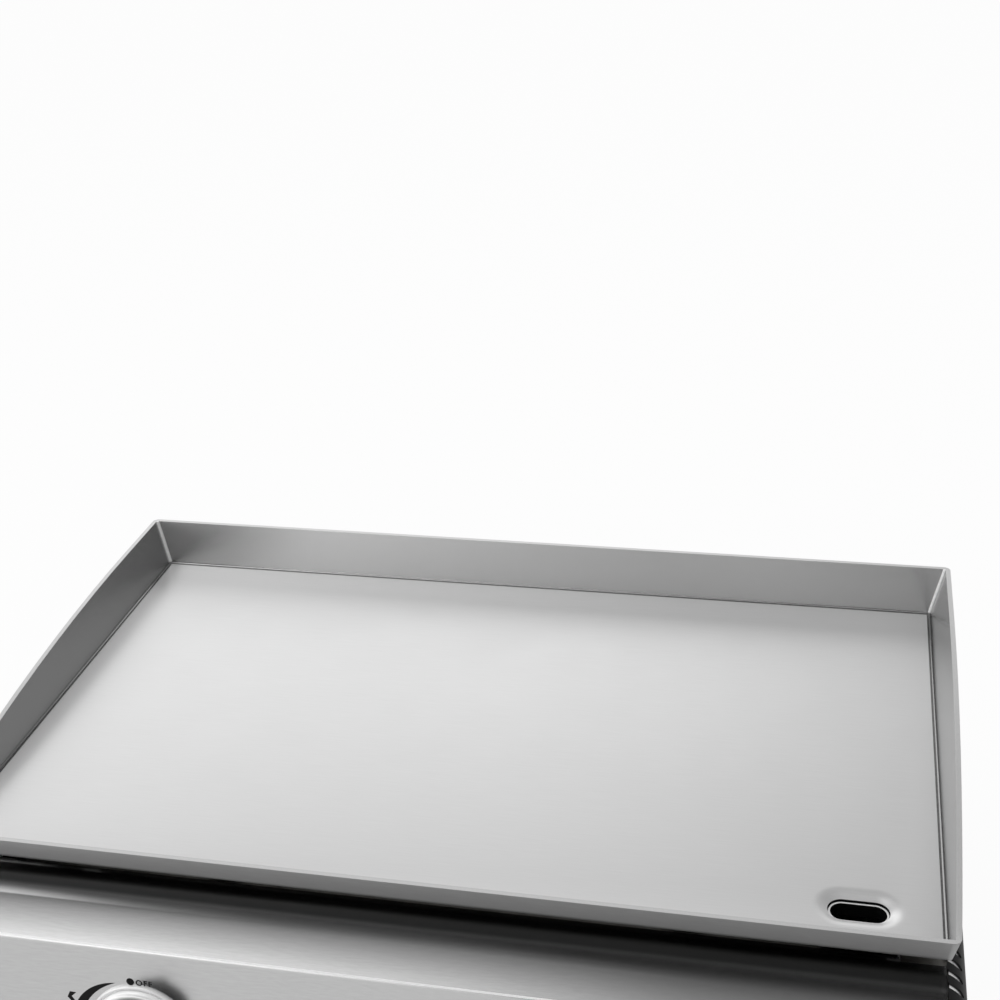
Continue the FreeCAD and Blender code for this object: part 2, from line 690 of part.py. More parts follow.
# Gas manifold across the front, its end caps and the brackets from the firebox wall.
man_y, man_z = manifold_centre.y, manifold_centre.z
manifold_left = -knob_x - manifold_past_knob[0]
manifold_right = knob_x + manifold_past_knob[1]
manifold = pipe(vec(manifold_left, man_y, man_z), vec(manifold_right, man_y, man_z),
                manifold_radius, manifold_wall)
nipple_radius = 4.5
for x in knob_sides:
    tap = rod(vec(0, manifold_back, -valve_half_height - manifold_radius), vec(0, manifold_back, 0),
              nipple_radius)
    manifold = manifold.cut(at_knob(tap, x))
nodes["manifold"] = manifold

cap_length = 8.0
cap_wall = 1.2
caps = []
for x, step in ((manifold_left, -1), (manifold_right, 1)):
    cap = rod(vec(x - step * cap_length, man_y, man_z), vec(x + step * cap_wall, man_y, man_z),
              manifold_radius + cap_wall)
    cap = cap.cut(rod(vec(x - step * cap_length, man_y, man_z), vec(x, man_y, man_z), manifold_radius))
    caps.append(cap)
supply_bore = rod(vec(manifold_left - cap_length, man_y, man_z),
                  vec(manifold_left + cap_length, man_y, man_z), supply_radius)
caps[0] = caps[0].cut(supply_bore)
nodes["manifold_caps"] = Part.makeCompound(caps)

brackets = []
for x in (manifold_left + arm_inset, manifold_right - arm_inset):
    plate = box(x - arm_thick / 2, x + arm_thick / 2, man_y - manifold_radius - arm_front, firebox_front_y,
                man_z - arm_half, man_z + arm_half)
    leaf = box(x - arm_thick / 2, x + arm_half, firebox_front_y - arm_thick, firebox_front_y,
               man_z - arm_half, man_z + arm_half)
    hole = rod(vec(x - arm_half, man_y, man_z), vec(x + arm_half, man_y, man_z), manifold_radius)
    brackets.append(plate.fuse(leaf).removeSplitter().cut(hole))
nodes["manifold_brackets"] = Part.makeCompound(brackets)

# Supply tube from the manifold's left end to the inlet fitting on the back.
inlet_y = tray_back_y
bend_y = man_y + supply_bend
first = rod(vec(manifold_left, man_y, man_z), vec(supply_x + supply_bend, man_y, man_z), supply_radius)
second = rod(vec(supply_x, bend_y, man_z), vec(supply_x, inlet_y - inlet_tail, man_z), supply_radius)
ring = Part.makeTorus(supply_bend, supply_radius, vec(supply_x + supply_bend, bend_y, man_z), vec(0, 0, 1))
elbow = ring.common(box(supply_x - supply_radius - 1, supply_x + supply_bend, man_y - supply_radius - 1,
                        bend_y, man_z - 10, man_z + 10))
nodes["supply_tube"] = first.fuse([elbow, second]).removeSplitter()


def hexagon(x, y, z, across, depth):
    r = across / 2 / cos_deg(30)
    points = [vec(x + r * cos_deg(60 * n), y, z + r * sin_deg(60 * n)) for n in range(7)]
    return Part.Face(Part.makePolygon(points)).extrude(vec(0, depth, 0))


fitting = hexagon(supply_x, inlet_y - back_sheet - inlet_nut_depth, man_z, inlet_nut, inlet_nut_depth)
fitting = fitting.fuse([
    hexagon(supply_x, inlet_y, man_z, inlet_nut, inlet_nut_depth),
    rod(vec(supply_x, inlet_y - inlet_tail, man_z),
        vec(supply_x, inlet_y + inlet_nut_depth + inlet_length, man_z), inlet_radius)])
inlet_bore = 3.5
fitting = fitting.cut(rod(vec(supply_x, inlet_y - inlet_tail, man_z),
                          vec(supply_x, inlet_y + clear, man_z), inlet_bore))
nodes["gas_inlet"] = fitting.removeSplitter()

# Knob group: bezel, knob, stem, plunger, valve and brass orifice for each burner.
lip_top = 1.8
dome_top = 4.0
groove_y = -0.8
groove_out = bezel_radius - bezel_lip
groove_in = groove_out - 0.6
dome_in = groove_in - bezel_dome
dome_mid = groove_in - bezel_dome / 2
bezel = revolved([(bezel_hole, 0), (bezel_hole, -bezel_sheet), (dome_in, -bezel_sheet),
                  ((dome_in + 0.15 * bezel_dome, -0.8 * dome_top), (dome_mid, -dome_top)),
                  ((groove_in - 0.15 * bezel_dome, -0.8 * dome_top), (groove_in, groove_y)),
                  (groove_out, groove_y),
                  ((bezel_radius - bezel_lip / 2, -lip_top), (bezel_radius, groove_y)), (bezel_radius, 0)])
knob_top = knob_base + knob_height
knob_edge = knob_round * (1 - cos_deg(45))
hollow_y = -knob_base - knob_hollow
body_y = -knob_base - knob_body
top_radius = knob_radius - knob_taper
knob_disc = revolved([(0, hollow_y), (knob_radius - knob_wall - knob_taper, hollow_y),
                      (knob_radius - knob_wall, -knob_base), (knob_radius, -knob_base),
                      (top_radius, body_y + knob_round),
                      ((top_radius - knob_edge, body_y + knob_edge), (top_radius - knob_round, body_y)),
                      (0, body_y)])
grip_wire = obround(0, 0, 0, grip_length, grip_width)
grip = Part.Face(grip_wire).extrude(vec(0, 0, knob_height - knob_body))
grip.rotate(vec(0, 0, 0), vec(0, 1, 0), 90)
grip.rotate(vec(0, 0, 0), vec(0, 0, 1), -90)
grip.translate(vec(0, body_y, 0))
grip = fillet_where(grip, knob_round, lambda e: all(abs(v.Y + knob_top) < 0.01 for v in e.Vertexes))
boss_radius = 6.5
boss = rod(vec(0, hollow_y, 0), vec(0, -knob_base + 1, 0), boss_radius)
stem_front = -knob_base - 16.0
flat_depth = 0.9
stem_bore = rod(vec(0, 10, 0), vec(0, stem_front, 0), stem_radius + stem_fit)
flat = box(-5, 5, stem_front, -knob_base, stem_radius - flat_depth, 5)
stem_bore = stem_bore.cut(flat)
pointer_half = 0.9
pointer_deep = 0.8
pointer = box(-pointer_half, pointer_half, -knob_top - past, -knob_top + pointer_deep, 6, grip_length / 2 - 4)
knob = knob_disc.fuse([grip, boss]).removeSplitter().cut(stem_bore).cut(pointer)

plunger_front = 12.0
plunger_length = 6.0
plunger_room = plunger_front + plunger_length + push_travel + 1
stem_tail = 34.0
stem = rod(vec(0, stem_front, 0), vec(0, stem_tail, 0), stem_radius).cut(flat)
stem = stem.fuse(rod(vec(0, plunger_front - 2.6, 0), vec(0, plunger_front - 0.3, 0), stem_shoulder))
plunger = rod(vec(0, plunger_front, 0), vec(0, plunger_front + plunger_length, 0), plunger_radius)
plunger = plunger.cut(rod(vec(0, 0, 0), vec(0, 40, 0), stem_radius + stem_fit))

cap_end = 7.0
plunger_bore = plunger_radius + plunger_fit
valve = box(-valve_width / 2, valve_width / 2, valve_front, valve_back, -valve_half_height, valve_half_height)
valve = valve.fuse([
    rod(vec(0, collar_front, 0), vec(0, valve_front, 0), collar_radius),
    rod(vec(0, manifold_back, -valve_half_height - manifold_radius),
        vec(0, manifold_back, -valve_half_height), nipple_radius)])
valve = valve.removeSplitter().cut(rod(vec(0, 0, 0), vec(0, plunger_room, 0), plunger_bore))
valve = valve.cut(rod(vec(0, 0, 0), vec(0, stem_tail + push_travel + 1, 0), stem_radius + stem_fit))
valve_cap = rod(vec(0, collar_front, 0), vec(0, cap_end, 0), plunger_radius)
valve_cap = valve_cap.cut(rod(vec(0, 0, 0), vec(0, 40, 0), stem_radius + 0.4))
orifice = hexagon(0, valve_back, 0, 10.0, 5.0).fuse(
    rod(vec(0, valve_back + 5, 0), vec(0, valve_back + orifice_length, 0), 3.2))
orifice = orifice.cut(rod(vec(0, 0, 0), vec(0, 90, 0), 0.6))
piezo_x = valve_width / 2 + piezo_radius
piezo = rod(vec(piezo_x, valve_front, 0), vec(piezo_x, valve_front + piezo_length, 0), piezo_radius)

for name, x in zip(side_names, knob_sides):
    nodes[name + "_bezel"] = at_knob(bezel, x)
    nodes[name + "_knob"] = at_knob(knob, x)
    nodes[name + "_stem"] = at_knob(stem, x)
    nodes[name + "_plunger"] = at_knob(plunger, x)
    nodes[name + "_valve"] = at_knob(valve, x)
nodes["valve_caps"] = Part.makeCompound([at_knob(valve_cap, x) for x in knob_sides])
nodes["orifices"] = Part.makeCompound([at_knob(orifice, x) for x in knob_sides])
nodes["piezo_igniters"] = Part.makeCompound([at_knob(piezo, x) for x in knob_sides])

# H-shaped burners: a feed tube with a venturi mouth, a cross tube and two legs with slotted ports.
mouth_y = orifice_tip.y - mouth_overlap
mouth_length = 14.0
leg_front_y = firebox_front_y + leg_front_gap
leg_back_y = firebox_back_y - leg_back_gap
cross_y = (leg_front_y + leg_back_y) / 2


def burner_body(grow):
    """Outside of the burner with grow 0, or its bore with grow minus the wall."""
    r = burner_radius + grow
    feed = rod(vec(0, mouth_y + mouth_length, 0), vec(0, cross_y, 0), r)
    mouth = Part.makeCone(mouth_radius + grow, r, mouth_length, vec(0, mouth_y, 0), vec(0, 1, 0))
    cross = rod(vec(-leg_spread, cross_y, 0), vec(leg_spread, cross_y, 0), r - 1)
    legs = [rod(vec(x, leg_front_y - grow, 0), vec(x, leg_back_y + grow, 0), r)
            for x in (-leg_spread, leg_spread)]
    return feed.fuse([mouth, cross] + legs)


burner = burner_body(0).cut(burner_body(-burner_wall))
ports = []
port_count = int((leg_back_y - leg_front_y - 2 * port_margin) / port_pitch) + 1
port_start = cross_y - (port_count - 1) / 2 * port_pitch
for x in (-leg_spread, leg_spread):
    for n in range(port_count):
        y = port_start + n * port_pitch
        if abs(y - cross_y) > burner_radius:
            ports.append(box(x - port_half, x + port_half, y - port_width / 2, y + port_width / 2,
                             0, burner_radius + 1))
air_y = mouth_y + mouth_length + 12
air_length = 16.0
air_slots = [box(-20, 20, air_y, air_y + air_length, -4, 4)]
burner = burner.cut(Part.makeCompound(ports + air_slots))
tail_thick = 1.5
tail_half = 8.0
tail_low = -burner_radius
for x in (-leg_spread, leg_spread):
    tail = box(x - tail_half, x + tail_half, leg_back_y - 1, firebox_back_y - 10,
               tail_low, tail_low + tail_thick)
    burner = burner.fuse(tail)
burner = burner.translated(vec(0, 0, burner_z))
shutter_wall = 0.9
shutter = pipe(vec(0, air_y - 5, burner_z), vec(0, air_y + air_length - 4, burner_z),
               burner_radius + shutter_wall, shutter_wall)
shutter = shutter.cut(box(-3, 3, air_y - 10, air_y + air_length, burner_z - 20, burner_z))
for name, x in zip(side_names, knob_sides):
    nodes[name + "_burner"] = burner.translated(vec(x, 0, 0))
nodes["air_shutters"] = Part.makeCompound([shutter.translated(vec(x, 0, 0)) for x in knob_sides])

shelf_lip = 14.0
shelf_top = burner_z + tail_low
shelf_back = firebox_back_y - firebox_sheet
shelf = box(-inner_wall, inner_wall, leg_back_y + 4, shelf_back, shelf_top - tail_thick, shelf_top)
shelf_leaf = box(-inner_wall, inner_wall, shelf_back - tail_thick, shelf_back,
                 shelf_top - shelf_lip, shelf_top)
nodes["burner_shelf"] = shelf.fuse(shelf_leaf).removeSplitter()

# Spark electrodes in the firebox front wall, each with a lead from its piezo igniter.
electrode_back = leg_front_y - 2
electrode_front = firebox_front_y - 16.0
needle_radius = 0.9
needle_length = 14.0
clip_half = 6.0
clip_thick = 1.5
lead_radius = 1.3
lead_bend = 5.0
lead_run = 7.0  # straight run out of the piezo igniter
electrodes, clips, leads = [], [], []


def arc_between(first, corner, last):
    """Arc that rounds a corner from one leg to the other."""
    middle = (first + last) / 2
    half = (last - first).Length / 2
    radius = (corner - first).Length * half / (corner - middle).Length
    centre = middle + (middle - corner).normalize() * math.sqrt(radius ** 2 - half ** 2)
    return Part.Arc(first, centre + (corner - centre).normalize() * radius, last).toShape()


for x in knob_sides:
    side = x + electrode_side
    up = burner_z + electrode_up
    end = vec(side, electrode_front, up)
    ceramic = rod(end, vec(side, electrode_back, up), electrode_radius)
    needle = rod(vec(side, electrode_back, up), vec(side, electrode_back + needle_length, up), needle_radius)
    electrodes.append(ceramic.fuse(needle))
    clip = box(side - clip_half, side + 3 * clip_half, firebox_front_y - clip_thick, firebox_front_y,
               up - clip_half, up + clip_half)
    clips.append(clip.cut(rod(end, vec(side, electrode_back, up), electrode_radius)))
    start = knob_point(x + piezo_x, valve_front + piezo_length, 0)
    turn_y = start.y + lead_run
    low_corner = vec(start.x, turn_y, start.z)
    high_corner = vec(end.x, turn_y, end.z)
    turn = (high_corner - low_corner).normalize()
    back = vec(0, 1, 0)
    a0, a1 = low_corner - back * lead_bend, low_corner + turn * lead_bend
    b0, b1 = high_corner - turn * lead_bend, high_corner + back * lead_bend
    path = Part.Wire([Part.makeLine(start, a0), arc_between(a0, low_corner, a1), Part.makeLine(a1, b0),
                      arc_between(b0, high_corner, b1), Part.makeLine(b1, end)])
    section = Part.Wire(Part.makeCircle(lead_radius, start, a0 - start))
    leads.append(path.makePipeShell([section], True, False))
nodes["electrodes"] = Part.makeCompound(electrodes)
nodes["electrode_clips"] = Part.makeCompound(clips)
nodes["igniter_leads"] = Part.makeCompound(leads)

# Grease chute, from below the spout to the cup, clipped to the firebox front wall.
cup_bottom = tray_top + cup_above_tray
cup_top = cup_bottom + cup_size[2]
chute_top_z = spout_low - 2
chute_low_z = cup_top + chute_gap


def chute_block(inset, extra):
    wires = []
    for (width, depth), z in ((chute_top, chute_top_z + extra), (chute_low, chute_low_z - extra)):
        w, d = width / 2 - inset, depth / 2 - inset
        corners = [(slot_x - w, slot_y - d), (slot_x + w, slot_y - d), (slot_x + w, slot_y + d),
                   (slot_x - w, slot_y + d), (slot_x - w, slot_y - d)]
        wires.append(Part.makePolygon([vec(a, b, z) for a, b in corners]))
    return Part.makeLoft(wires, True, True)


chute = chute_block(0, 0).cut(chute_block(chute_sheet, 0.01))
tab_z = chute_top_z - chute_tab
shelf = box(slot_x - chute_tab, slot_x + chute_tab, slot_y + chute_top[1] / 2 - chute_sheet, firebox_front_y,
            tab_z, tab_z + chute_sheet)
leaf = box(slot_x - chute_tab, slot_x + chute_tab, firebox_front_y - chute_sheet, firebox_front_y,
           tab_z - chute_leaf, tab_z + chute_sheet)
inside = chute_block(chute_sheet, 0.01)
nodes["grease_chute"] = chute.fuse([shelf, leaf]).removeSplitter().cut(inside)

# Grease cup with a rolled rim and a pull plate, on two rails that stand on the bottom tray.
cup_x0 = slot_x - cup_size[0] / 2
cup_x1 = slot_x + cup_size[0] / 2
cup_back_y = cup_front_y + cup_size[1]
cup = box(cup_x0, cup_x1, cup_front_y, cup_back_y, cup_bottom, cup_top)
cup = fillet_where(cup, cup_corner, lambda e: abs(e.Vertexes[0].Z - e.Vertexes[1].Z) > 1)
cup_hollow = box(cup_x0 + cup_sheet, cup_x1 - cup_sheet, cup_front_y + cup_sheet, cup_back_y - cup_sheet,
                 cup_bottom + cup_sheet, cup_top + 5)
cup_hollow = fillet_where(cup_hollow, cup_corner - cup_sheet,
                          lambda e: abs(e.Vertexes[0].Z - e.Vertexes[1].Z) > 1)
rim = box(cup_x0 - cup_rim, cup_x1 + cup_rim, cup_front_y, cup_back_y, cup_top - cup_sheet, cup_top)
pull_y = face_foot.y + pull_set_back
strip = box(slot_x - pull_half, slot_x + pull_half, pull_y, cup_front_y + 2, cup_top - cup_sheet, cup_top)
pull = box(slot_x - pull_half, slot_x + pull_half, pull_y, pull_y + cup_sheet, cup_top - pull_drop, cup_top)
nodes["grease_cup"] = cup.fuse([rim, strip, pull]).removeSplitter().cut(cup_hollow)

rail_past_cup = 16.0
rail_rise = 3.0  # rails above the rim of the cup
rail_back_y = cup_back_y + rail_past_cup
rail_z = cup_top - cup_sheet - rail_gap
web_x = cup_x0 - cup_rim - rail_gap - rail_sheet
rail = box(web_x, web_x + rail_sheet, cup_front_y, rail_back_y, tray_top, cup_top + rail_rise)
rail = rail.fuse([
    box(web_x, cup_x0 - rail_gap, cup_front_y, rail_back_y, rail_z - rail_sheet, rail_z),
    box(web_x - rail_foot, web_x + rail_sheet, cup_front_y, rail_back_y, tray_top, tray_top + rail_sheet),
    box(web_x, slot_x - rail_past_cup, rail_back_y - rail_sheet, rail_back_y, tray_top,
        cup_top + rail_rise)]).removeSplitter()
other_rail = rail.mirror(vec(slot_x, 0, 0), vec(1, 0, 0))
nodes["cup_rails"] = Part.makeCompound([rail, other_rail])

# Rubber feet under the corners of the tray, each held by one screw.
foot_bore = 3.3
foot_screw_radius = 3.2
rubber = revolved([(foot_bore, -cover_bottom), (rubber_radius - 1, -cover_bottom),
                   (rubber_radius, -cover_bottom + 3), (rubber_radius - 2.5, 0), (9, 0), (9, -6),
                   (foot_bore, -6)])
rubber.rotate(vec(0, 0, 0), vec(1, 0, 0), -90)
foot_screw = rod(vec(0, 0, 6), vec(0, 0, cover_bottom), foot_screw_radius)
foot_screw = foot_screw.fuse(rod(vec(0, 0, 3), vec(0, 0, 6), 5.5))
rubber_x = body_half - rubber_inset
rubber_y = [tray_front_y + rubber_end_gap[0], body_back_y - rubber_end_gap[1]]
foot_places = [vec(s * rubber_x, y, 0) for s in (-1, 1) for y in rubber_y]
nodes["rubber_feet"] = Part.makeCompound([rubber.translated(p) for p in foot_places])
nodes["foot_screws"] = Part.makeCompound([foot_screw.translated(p) for p in foot_places])

# Pan-head screws on the covers and the back.
bracket_screw = knob_point(0, bracket_run + bracket_leaf / 2, 0)
screw_head = rod(vec(0, 0, 0), vec(0, screw_height, 0), screw_radius)
screw_head = fillet_where(screw_head, 0.55 * screw_height,
                          lambda e: all(abs(v.Y - screw_height) < 0.01 for v in e.Vertexes))
tray_screw_z = cover_bottom + 0.6 * tray_flange
side_screws = []
hanger_screw_z = hanger_z - hanger_leaf / 2
for y, z in ((hanger_y[0] + 20, hanger_screw_z), (hanger_y[1] - 20, hanger_screw_z),
             (rubber_y[0] + 16, tray_screw_z), (rubber_y[1] - 16, tray_screw_z),
             (bracket_screw.y, bracket_screw.z)):
    head = screw_head.copy()
    head.rotate(vec(0, 0, 0), vec(0, 0, 1), -90)
    head.translate(vec(body_half, y, z))
    side_screws.append(head)
nodes["cover_screws"] = both_sides(Part.makeCompound(side_screws))
back_screw_x = body_half - shoulder_radius / 3
back_screw_z = [back_low + 15, (back_low + back_high) / 2, back_high - 20]
back_screws = [screw_head.translated(vec(s * back_screw_x, body_back_y, z))
               for s in (-1, 1) for z in back_screw_z]
nodes["back_screws"] = Part.makeCompound(back_screws)

# Origin at the middle of the footprint of the whole object, on the ground.
whole = FreeCAD.BoundBox()
for shape in nodes.values():
    whole.add(shape.optimalBoundingBox(False))
shift = vec(-(whole.XMin + whole.XMax) / 2, -(whole.YMin + whole.YMax) / 2, -whole.ZMin)
os.makedirs("parts", exist_ok=True)
for name, shape in nodes.items():
    shape.translated(shift).exportStep("parts/" + name + ".step")
    print(name, "valid" if shape.isValid() else "INVALID", len(shape.Solids), round(shape.Volume))
print("shift", shift, "size", whole.XLength, whole.YLength, whole.ZLength)
print("knob centre", knob_centre + shift, "burner", burner_z, "slot", vec(slot_x, slot_y, cook_z) + shift)
print("gas inlet", vec(supply_x, inlet_y + inlet_nut_depth + inlet_length / 2, man_z) + shift)
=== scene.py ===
import bmesh
import bpy
import json
import math
from mathutils import Matrix, Vector

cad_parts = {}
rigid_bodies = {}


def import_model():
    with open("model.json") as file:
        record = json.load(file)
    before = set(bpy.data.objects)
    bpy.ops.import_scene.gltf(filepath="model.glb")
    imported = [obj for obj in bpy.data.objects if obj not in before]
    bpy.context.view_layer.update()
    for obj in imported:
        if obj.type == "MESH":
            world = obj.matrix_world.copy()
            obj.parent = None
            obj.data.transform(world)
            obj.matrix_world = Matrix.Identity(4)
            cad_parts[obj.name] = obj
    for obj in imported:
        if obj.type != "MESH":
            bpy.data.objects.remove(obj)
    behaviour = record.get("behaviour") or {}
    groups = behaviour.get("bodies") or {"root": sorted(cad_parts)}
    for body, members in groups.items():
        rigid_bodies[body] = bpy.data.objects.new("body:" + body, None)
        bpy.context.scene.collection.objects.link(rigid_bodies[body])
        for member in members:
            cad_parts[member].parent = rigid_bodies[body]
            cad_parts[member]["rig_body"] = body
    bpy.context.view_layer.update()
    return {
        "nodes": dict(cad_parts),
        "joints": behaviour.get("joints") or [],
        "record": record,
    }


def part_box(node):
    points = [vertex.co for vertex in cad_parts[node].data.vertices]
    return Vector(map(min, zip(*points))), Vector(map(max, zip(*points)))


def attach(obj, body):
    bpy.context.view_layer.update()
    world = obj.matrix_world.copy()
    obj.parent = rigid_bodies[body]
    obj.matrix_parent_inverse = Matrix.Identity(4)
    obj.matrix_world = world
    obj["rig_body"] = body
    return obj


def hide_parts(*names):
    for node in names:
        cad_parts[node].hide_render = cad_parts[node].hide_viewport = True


# Portable gas griddle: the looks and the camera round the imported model. X runs right, Y back, Z up from the
# ground. The scene is in metres, and sizes are written in millimetres times mm.
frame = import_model()
mm = 0.001


# Camera at the photograph's viewpoint, solved from the edges of the pan: in front of the griddle, turned a
# little to the left, looking down and tipped slightly sideways. The angles are in degrees.
camera_place = Vector((0.216489, -0.793744, 0.779109))
camera_left = 13.37646
camera_down = 26.22347
camera_roll = -2.81179
camera_data = bpy.data.cameras.new("camera")
camera_data.lens = 56.837
camera_data.sensor_width = 36.0
camera_data.clip_start = 0.01
camera_turn = (Matrix.Rotation(math.radians(camera_left), 4, "Z")
               @ Matrix.Rotation(math.radians(90 - camera_down), 4, "X")
               @ Matrix.Rotation(math.radians(camera_roll), 4, "Z"))
camera = bpy.data.objects.new("camera", camera_data)
camera.matrix_world = Matrix.Translation(camera_place) @ camera_turn
bpy.context.scene.collection.objects.link(camera)
bpy.context.scene.camera = camera


# Studio: a white floor, a world that is white to the eye and to mirrors, one soft lamp high on the left, and a
# round tent that only polished faces see. The tent's grey levels were tuned until the steel looked as it does
# in the photograph, so they describe no real studio, and so does the floor's level for mirrors.
def add(tree, kind, settings=None, links=None):
    """Adds a node, gives its properties and inputs their values, and links the inputs named in links."""
    node = tree.nodes.new(kind)
    for key, value in (settings or {}).items():
        if isinstance(key, int) or key in node.inputs:
            node.inputs[key].default_value = value
        else:
            setattr(node, key, value)
    for key, source in (links or {}).items():
        tree.links.new(source.outputs[0] if isinstance(source, bpy.types.Node) else source, node.inputs[key])
    return node


def linear(code):
    """Linear colour from an sRGB hex code such as C8C8C4."""
    parts = [int(code[i:i + 2], 16) / 255 for i in (0, 2, 4)]
    return tuple(p / 12.92 if p <= 0.04045 else ((p + 0.055) / 1.055) ** 2.4 for p in parts) + (1.0,)


def seen_ray(tree):
    """1 for rays from the camera, through glass or off a polished face, and 0 for diffuse light."""
    path = add(tree, "ShaderNodeLightPath")
    eye = add(tree, "ShaderNodeMath", {"operation": "MAXIMUM"},
              {0: path.outputs["Is Camera Ray"], 1: path.outputs["Is Glossy Ray"]})
    return add(tree, "ShaderNodeMath", {"operation": "MAXIMUM"},
               {0: eye, 1: path.outputs["Is Transmission Ray"]})


white = (1.0, 1.0, 1.0, 1.0)
world = bpy.data.worlds.new("studio")
world.use_nodes = True
bpy.context.scene.world = world
world.node_tree.nodes.clear()
sky_level = add(world.node_tree, "ShaderNodeMapRange", {"To Min": 0.85, "To Max": 1.0},
                {"Value": seen_ray(world.node_tree)})
sky = add(world.node_tree, "ShaderNodeBackground", {"Color": white}, {"Strength": sky_level})
add(world.node_tree, "ShaderNodeOutputWorld", {}, {"Surface": sky})

# The floor is white to the eye and keeps a shadow. To mirrors it darkens from 0.2 m to 0.6 m at the right.
floor_half = 6.0
floor_glow = 0.95
floor_paint = bpy.data.materials.new("studio_floor")
floor_paint.use_nodes = True
floor_tree = floor_paint.node_tree
floor_tree.nodes.clear()
matt_floor = add(floor_tree, "ShaderNodeBsdfDiffuse", {"Color": linear("CCCCCC")})
floor_place = add(floor_tree, "ShaderNodeTexCoord")
floor_across = add(floor_tree, "ShaderNodeSeparateXYZ", {}, {0: floor_place.outputs["Object"]})
floor_mirrored = add(floor_tree, "ShaderNodeMapRange",
                     {"From Min": 0.2, "From Max": 0.6, "To Min": 0.68, "To Max": 0.35},
                     {"Value": floor_across.outputs["X"]})
floor_eye = add(floor_tree, "ShaderNodeMath", {"operation": "MAXIMUM"},
                {0: add(floor_tree, "ShaderNodeLightPath").outputs["Is Camera Ray"], 1: floor_mirrored})
glow = add(floor_tree, "ShaderNodeEmission", {"Color": white}, {"Strength": floor_eye})
floor_share = add(floor_tree, "ShaderNodeMath", {"operation": "MULTIPLY", 1: floor_glow},
                  {0: seen_ray(floor_tree)})
floor_mix = add(floor_tree, "ShaderNodeMixShader", {}, {0: floor_share, 1: matt_floor, 2: glow})
add(floor_tree, "ShaderNodeOutputMaterial", {}, {"Surface": floor_mix})
floor_mesh = bmesh.new()
bmesh.ops.create_grid(floor_mesh, x_segments=1, y_segments=1, size=floor_half)
floor_data = bpy.data.meshes.new("studio_floor")
floor_mesh.to_mesh(floor_data)
floor_mesh.free()
floor_data.materials.append(floor_paint)
floor = bpy.data.objects.new("studio_floor", floor_data)

tent_cloth = bpy.data.materials.new("studio_tent")
tent_cloth.use_nodes = True
tent_tree = tent_cloth.node_tree
tent_tree.nodes.clear()
tent_place = add(tent_tree, "ShaderNodeTexCoord")
tent_ray = add(tent_tree, "ShaderNodeVectorMath", {"operation": "NORMALIZE"}, {0: tent_place.outputs["Object"]})
tent_parts = add(tent_tree, "ShaderNodeSeparateXYZ", {}, {0: tent_ray})


def tent_shade(value, low, high, stops):
    """Grey levels of the tent over one measure of direction, given as pairs of place and level."""
    share = add(tent_tree, "ShaderNodeMapRange", {"From Min": low, "From Max": high}, {"Value": value})
    ramp = add(tent_tree, "ShaderNodeValToRGB", {}, {0: share})
    for place, level in stops:
        stop = ramp.color_ramp.elements.new((place - low) / (high - low))
        stop.color = (level, level, level, 1.0)
    ramp.color_ramp.elements.remove(ramp.color_ramp.elements[0])
    ramp.color_ramp.elements.remove(ramp.color_ramp.elements[-1])
    return ramp


tent_turn = add(tent_tree, "ShaderNodeMath", {"operation": "ARCTAN2"},
                {0: tent_parts.outputs["X"], 1: tent_parts.outputs["Y"]})
tent_degrees = add(tent_tree, "ShaderNodeMath", {"operation": "MULTIPLY", 1: 180 / math.pi}, {0: tent_turn})
# Round the sides, in degrees: 0 is the back, 90 the right, -90 the left and 180 the front.
tent_wall = tent_shade(tent_degrees, -180, 180, [
    (-180, 0.3), (-165, 1.0), (-150, 1.6), (-90, 1.0), (-30, 1.1), (-12, 1.2), (0, 1.05), (8, 0.8), (38, 0.2),
    (90, 0.3), (142, 0.25), (172, 0.15), (180, 0.3)])
# Overhead, the level from front to back times the level from left to right.
tent_depth = tent_shade(tent_parts.outputs["Y"], -1, 1, [
    (-1, 0.03), (-0.75, 0.03), (-0.6, 0.3), (-0.45, 1.2), (-0.36, 1.15), (-0.23, 0.85), (-0.03, 0.6),
    (0.17, 0.36), (0.36, 0.13), (0.57, 0.04), (0.75, 0.02)])
tent_side = tent_shade(tent_parts.outputs["X"], -1, 1, [
    (-0.44, 1.0), (-0.3, 0.85), (-0.18, 0.72), (-0.06, 0.48), (0, 0.36), (0.3, 0.22)])
tent_roof = add(tent_tree, "ShaderNodeVectorMath", {"operation": "MULTIPLY"}, {0: tent_depth, 1: tent_side})
# The sides pass into the roof over a narrow band, which runs higher at the back than at the front.
tent_height = add(tent_tree, "ShaderNodeMath", {"operation": "MULTIPLY_ADD", 1: -0.26},
                  {0: tent_parts.outputs["Y"], 2: tent_parts.outputs["Z"]})
tent_join = add(tent_tree, "ShaderNodeMapRange", {"From Min": 0.49, "From Max": 0.55}, {"Value": tent_height})
tent_level = add(tent_tree, "ShaderNodeMix", {"data_type": "RGBA"}, {0: tent_join, 6: tent_wall, 7: tent_roof})
tent_glow = add(tent_tree, "ShaderNodeEmission", {"Strength": 1.05}, {"Color": tent_level.outputs[2]})
add(tent_tree, "ShaderNodeOutputMaterial", {}, {"Surface": tent_glow})
tent_radius = 2.2
tent_mesh = bmesh.new()
bmesh.ops.create_uvsphere(tent_mesh, u_segments=64, v_segments=32, radius=tent_radius)
tent_data = bpy.data.meshes.new("studio_tent")
tent_mesh.to_mesh(tent_data)
tent_mesh.free()
tent_data.materials.append(tent_cloth)
tent = bpy.data.objects.new("studio_tent", tent_data)
tent.visible_camera = False
tent.visible_diffuse = False
tent.visible_shadow = False

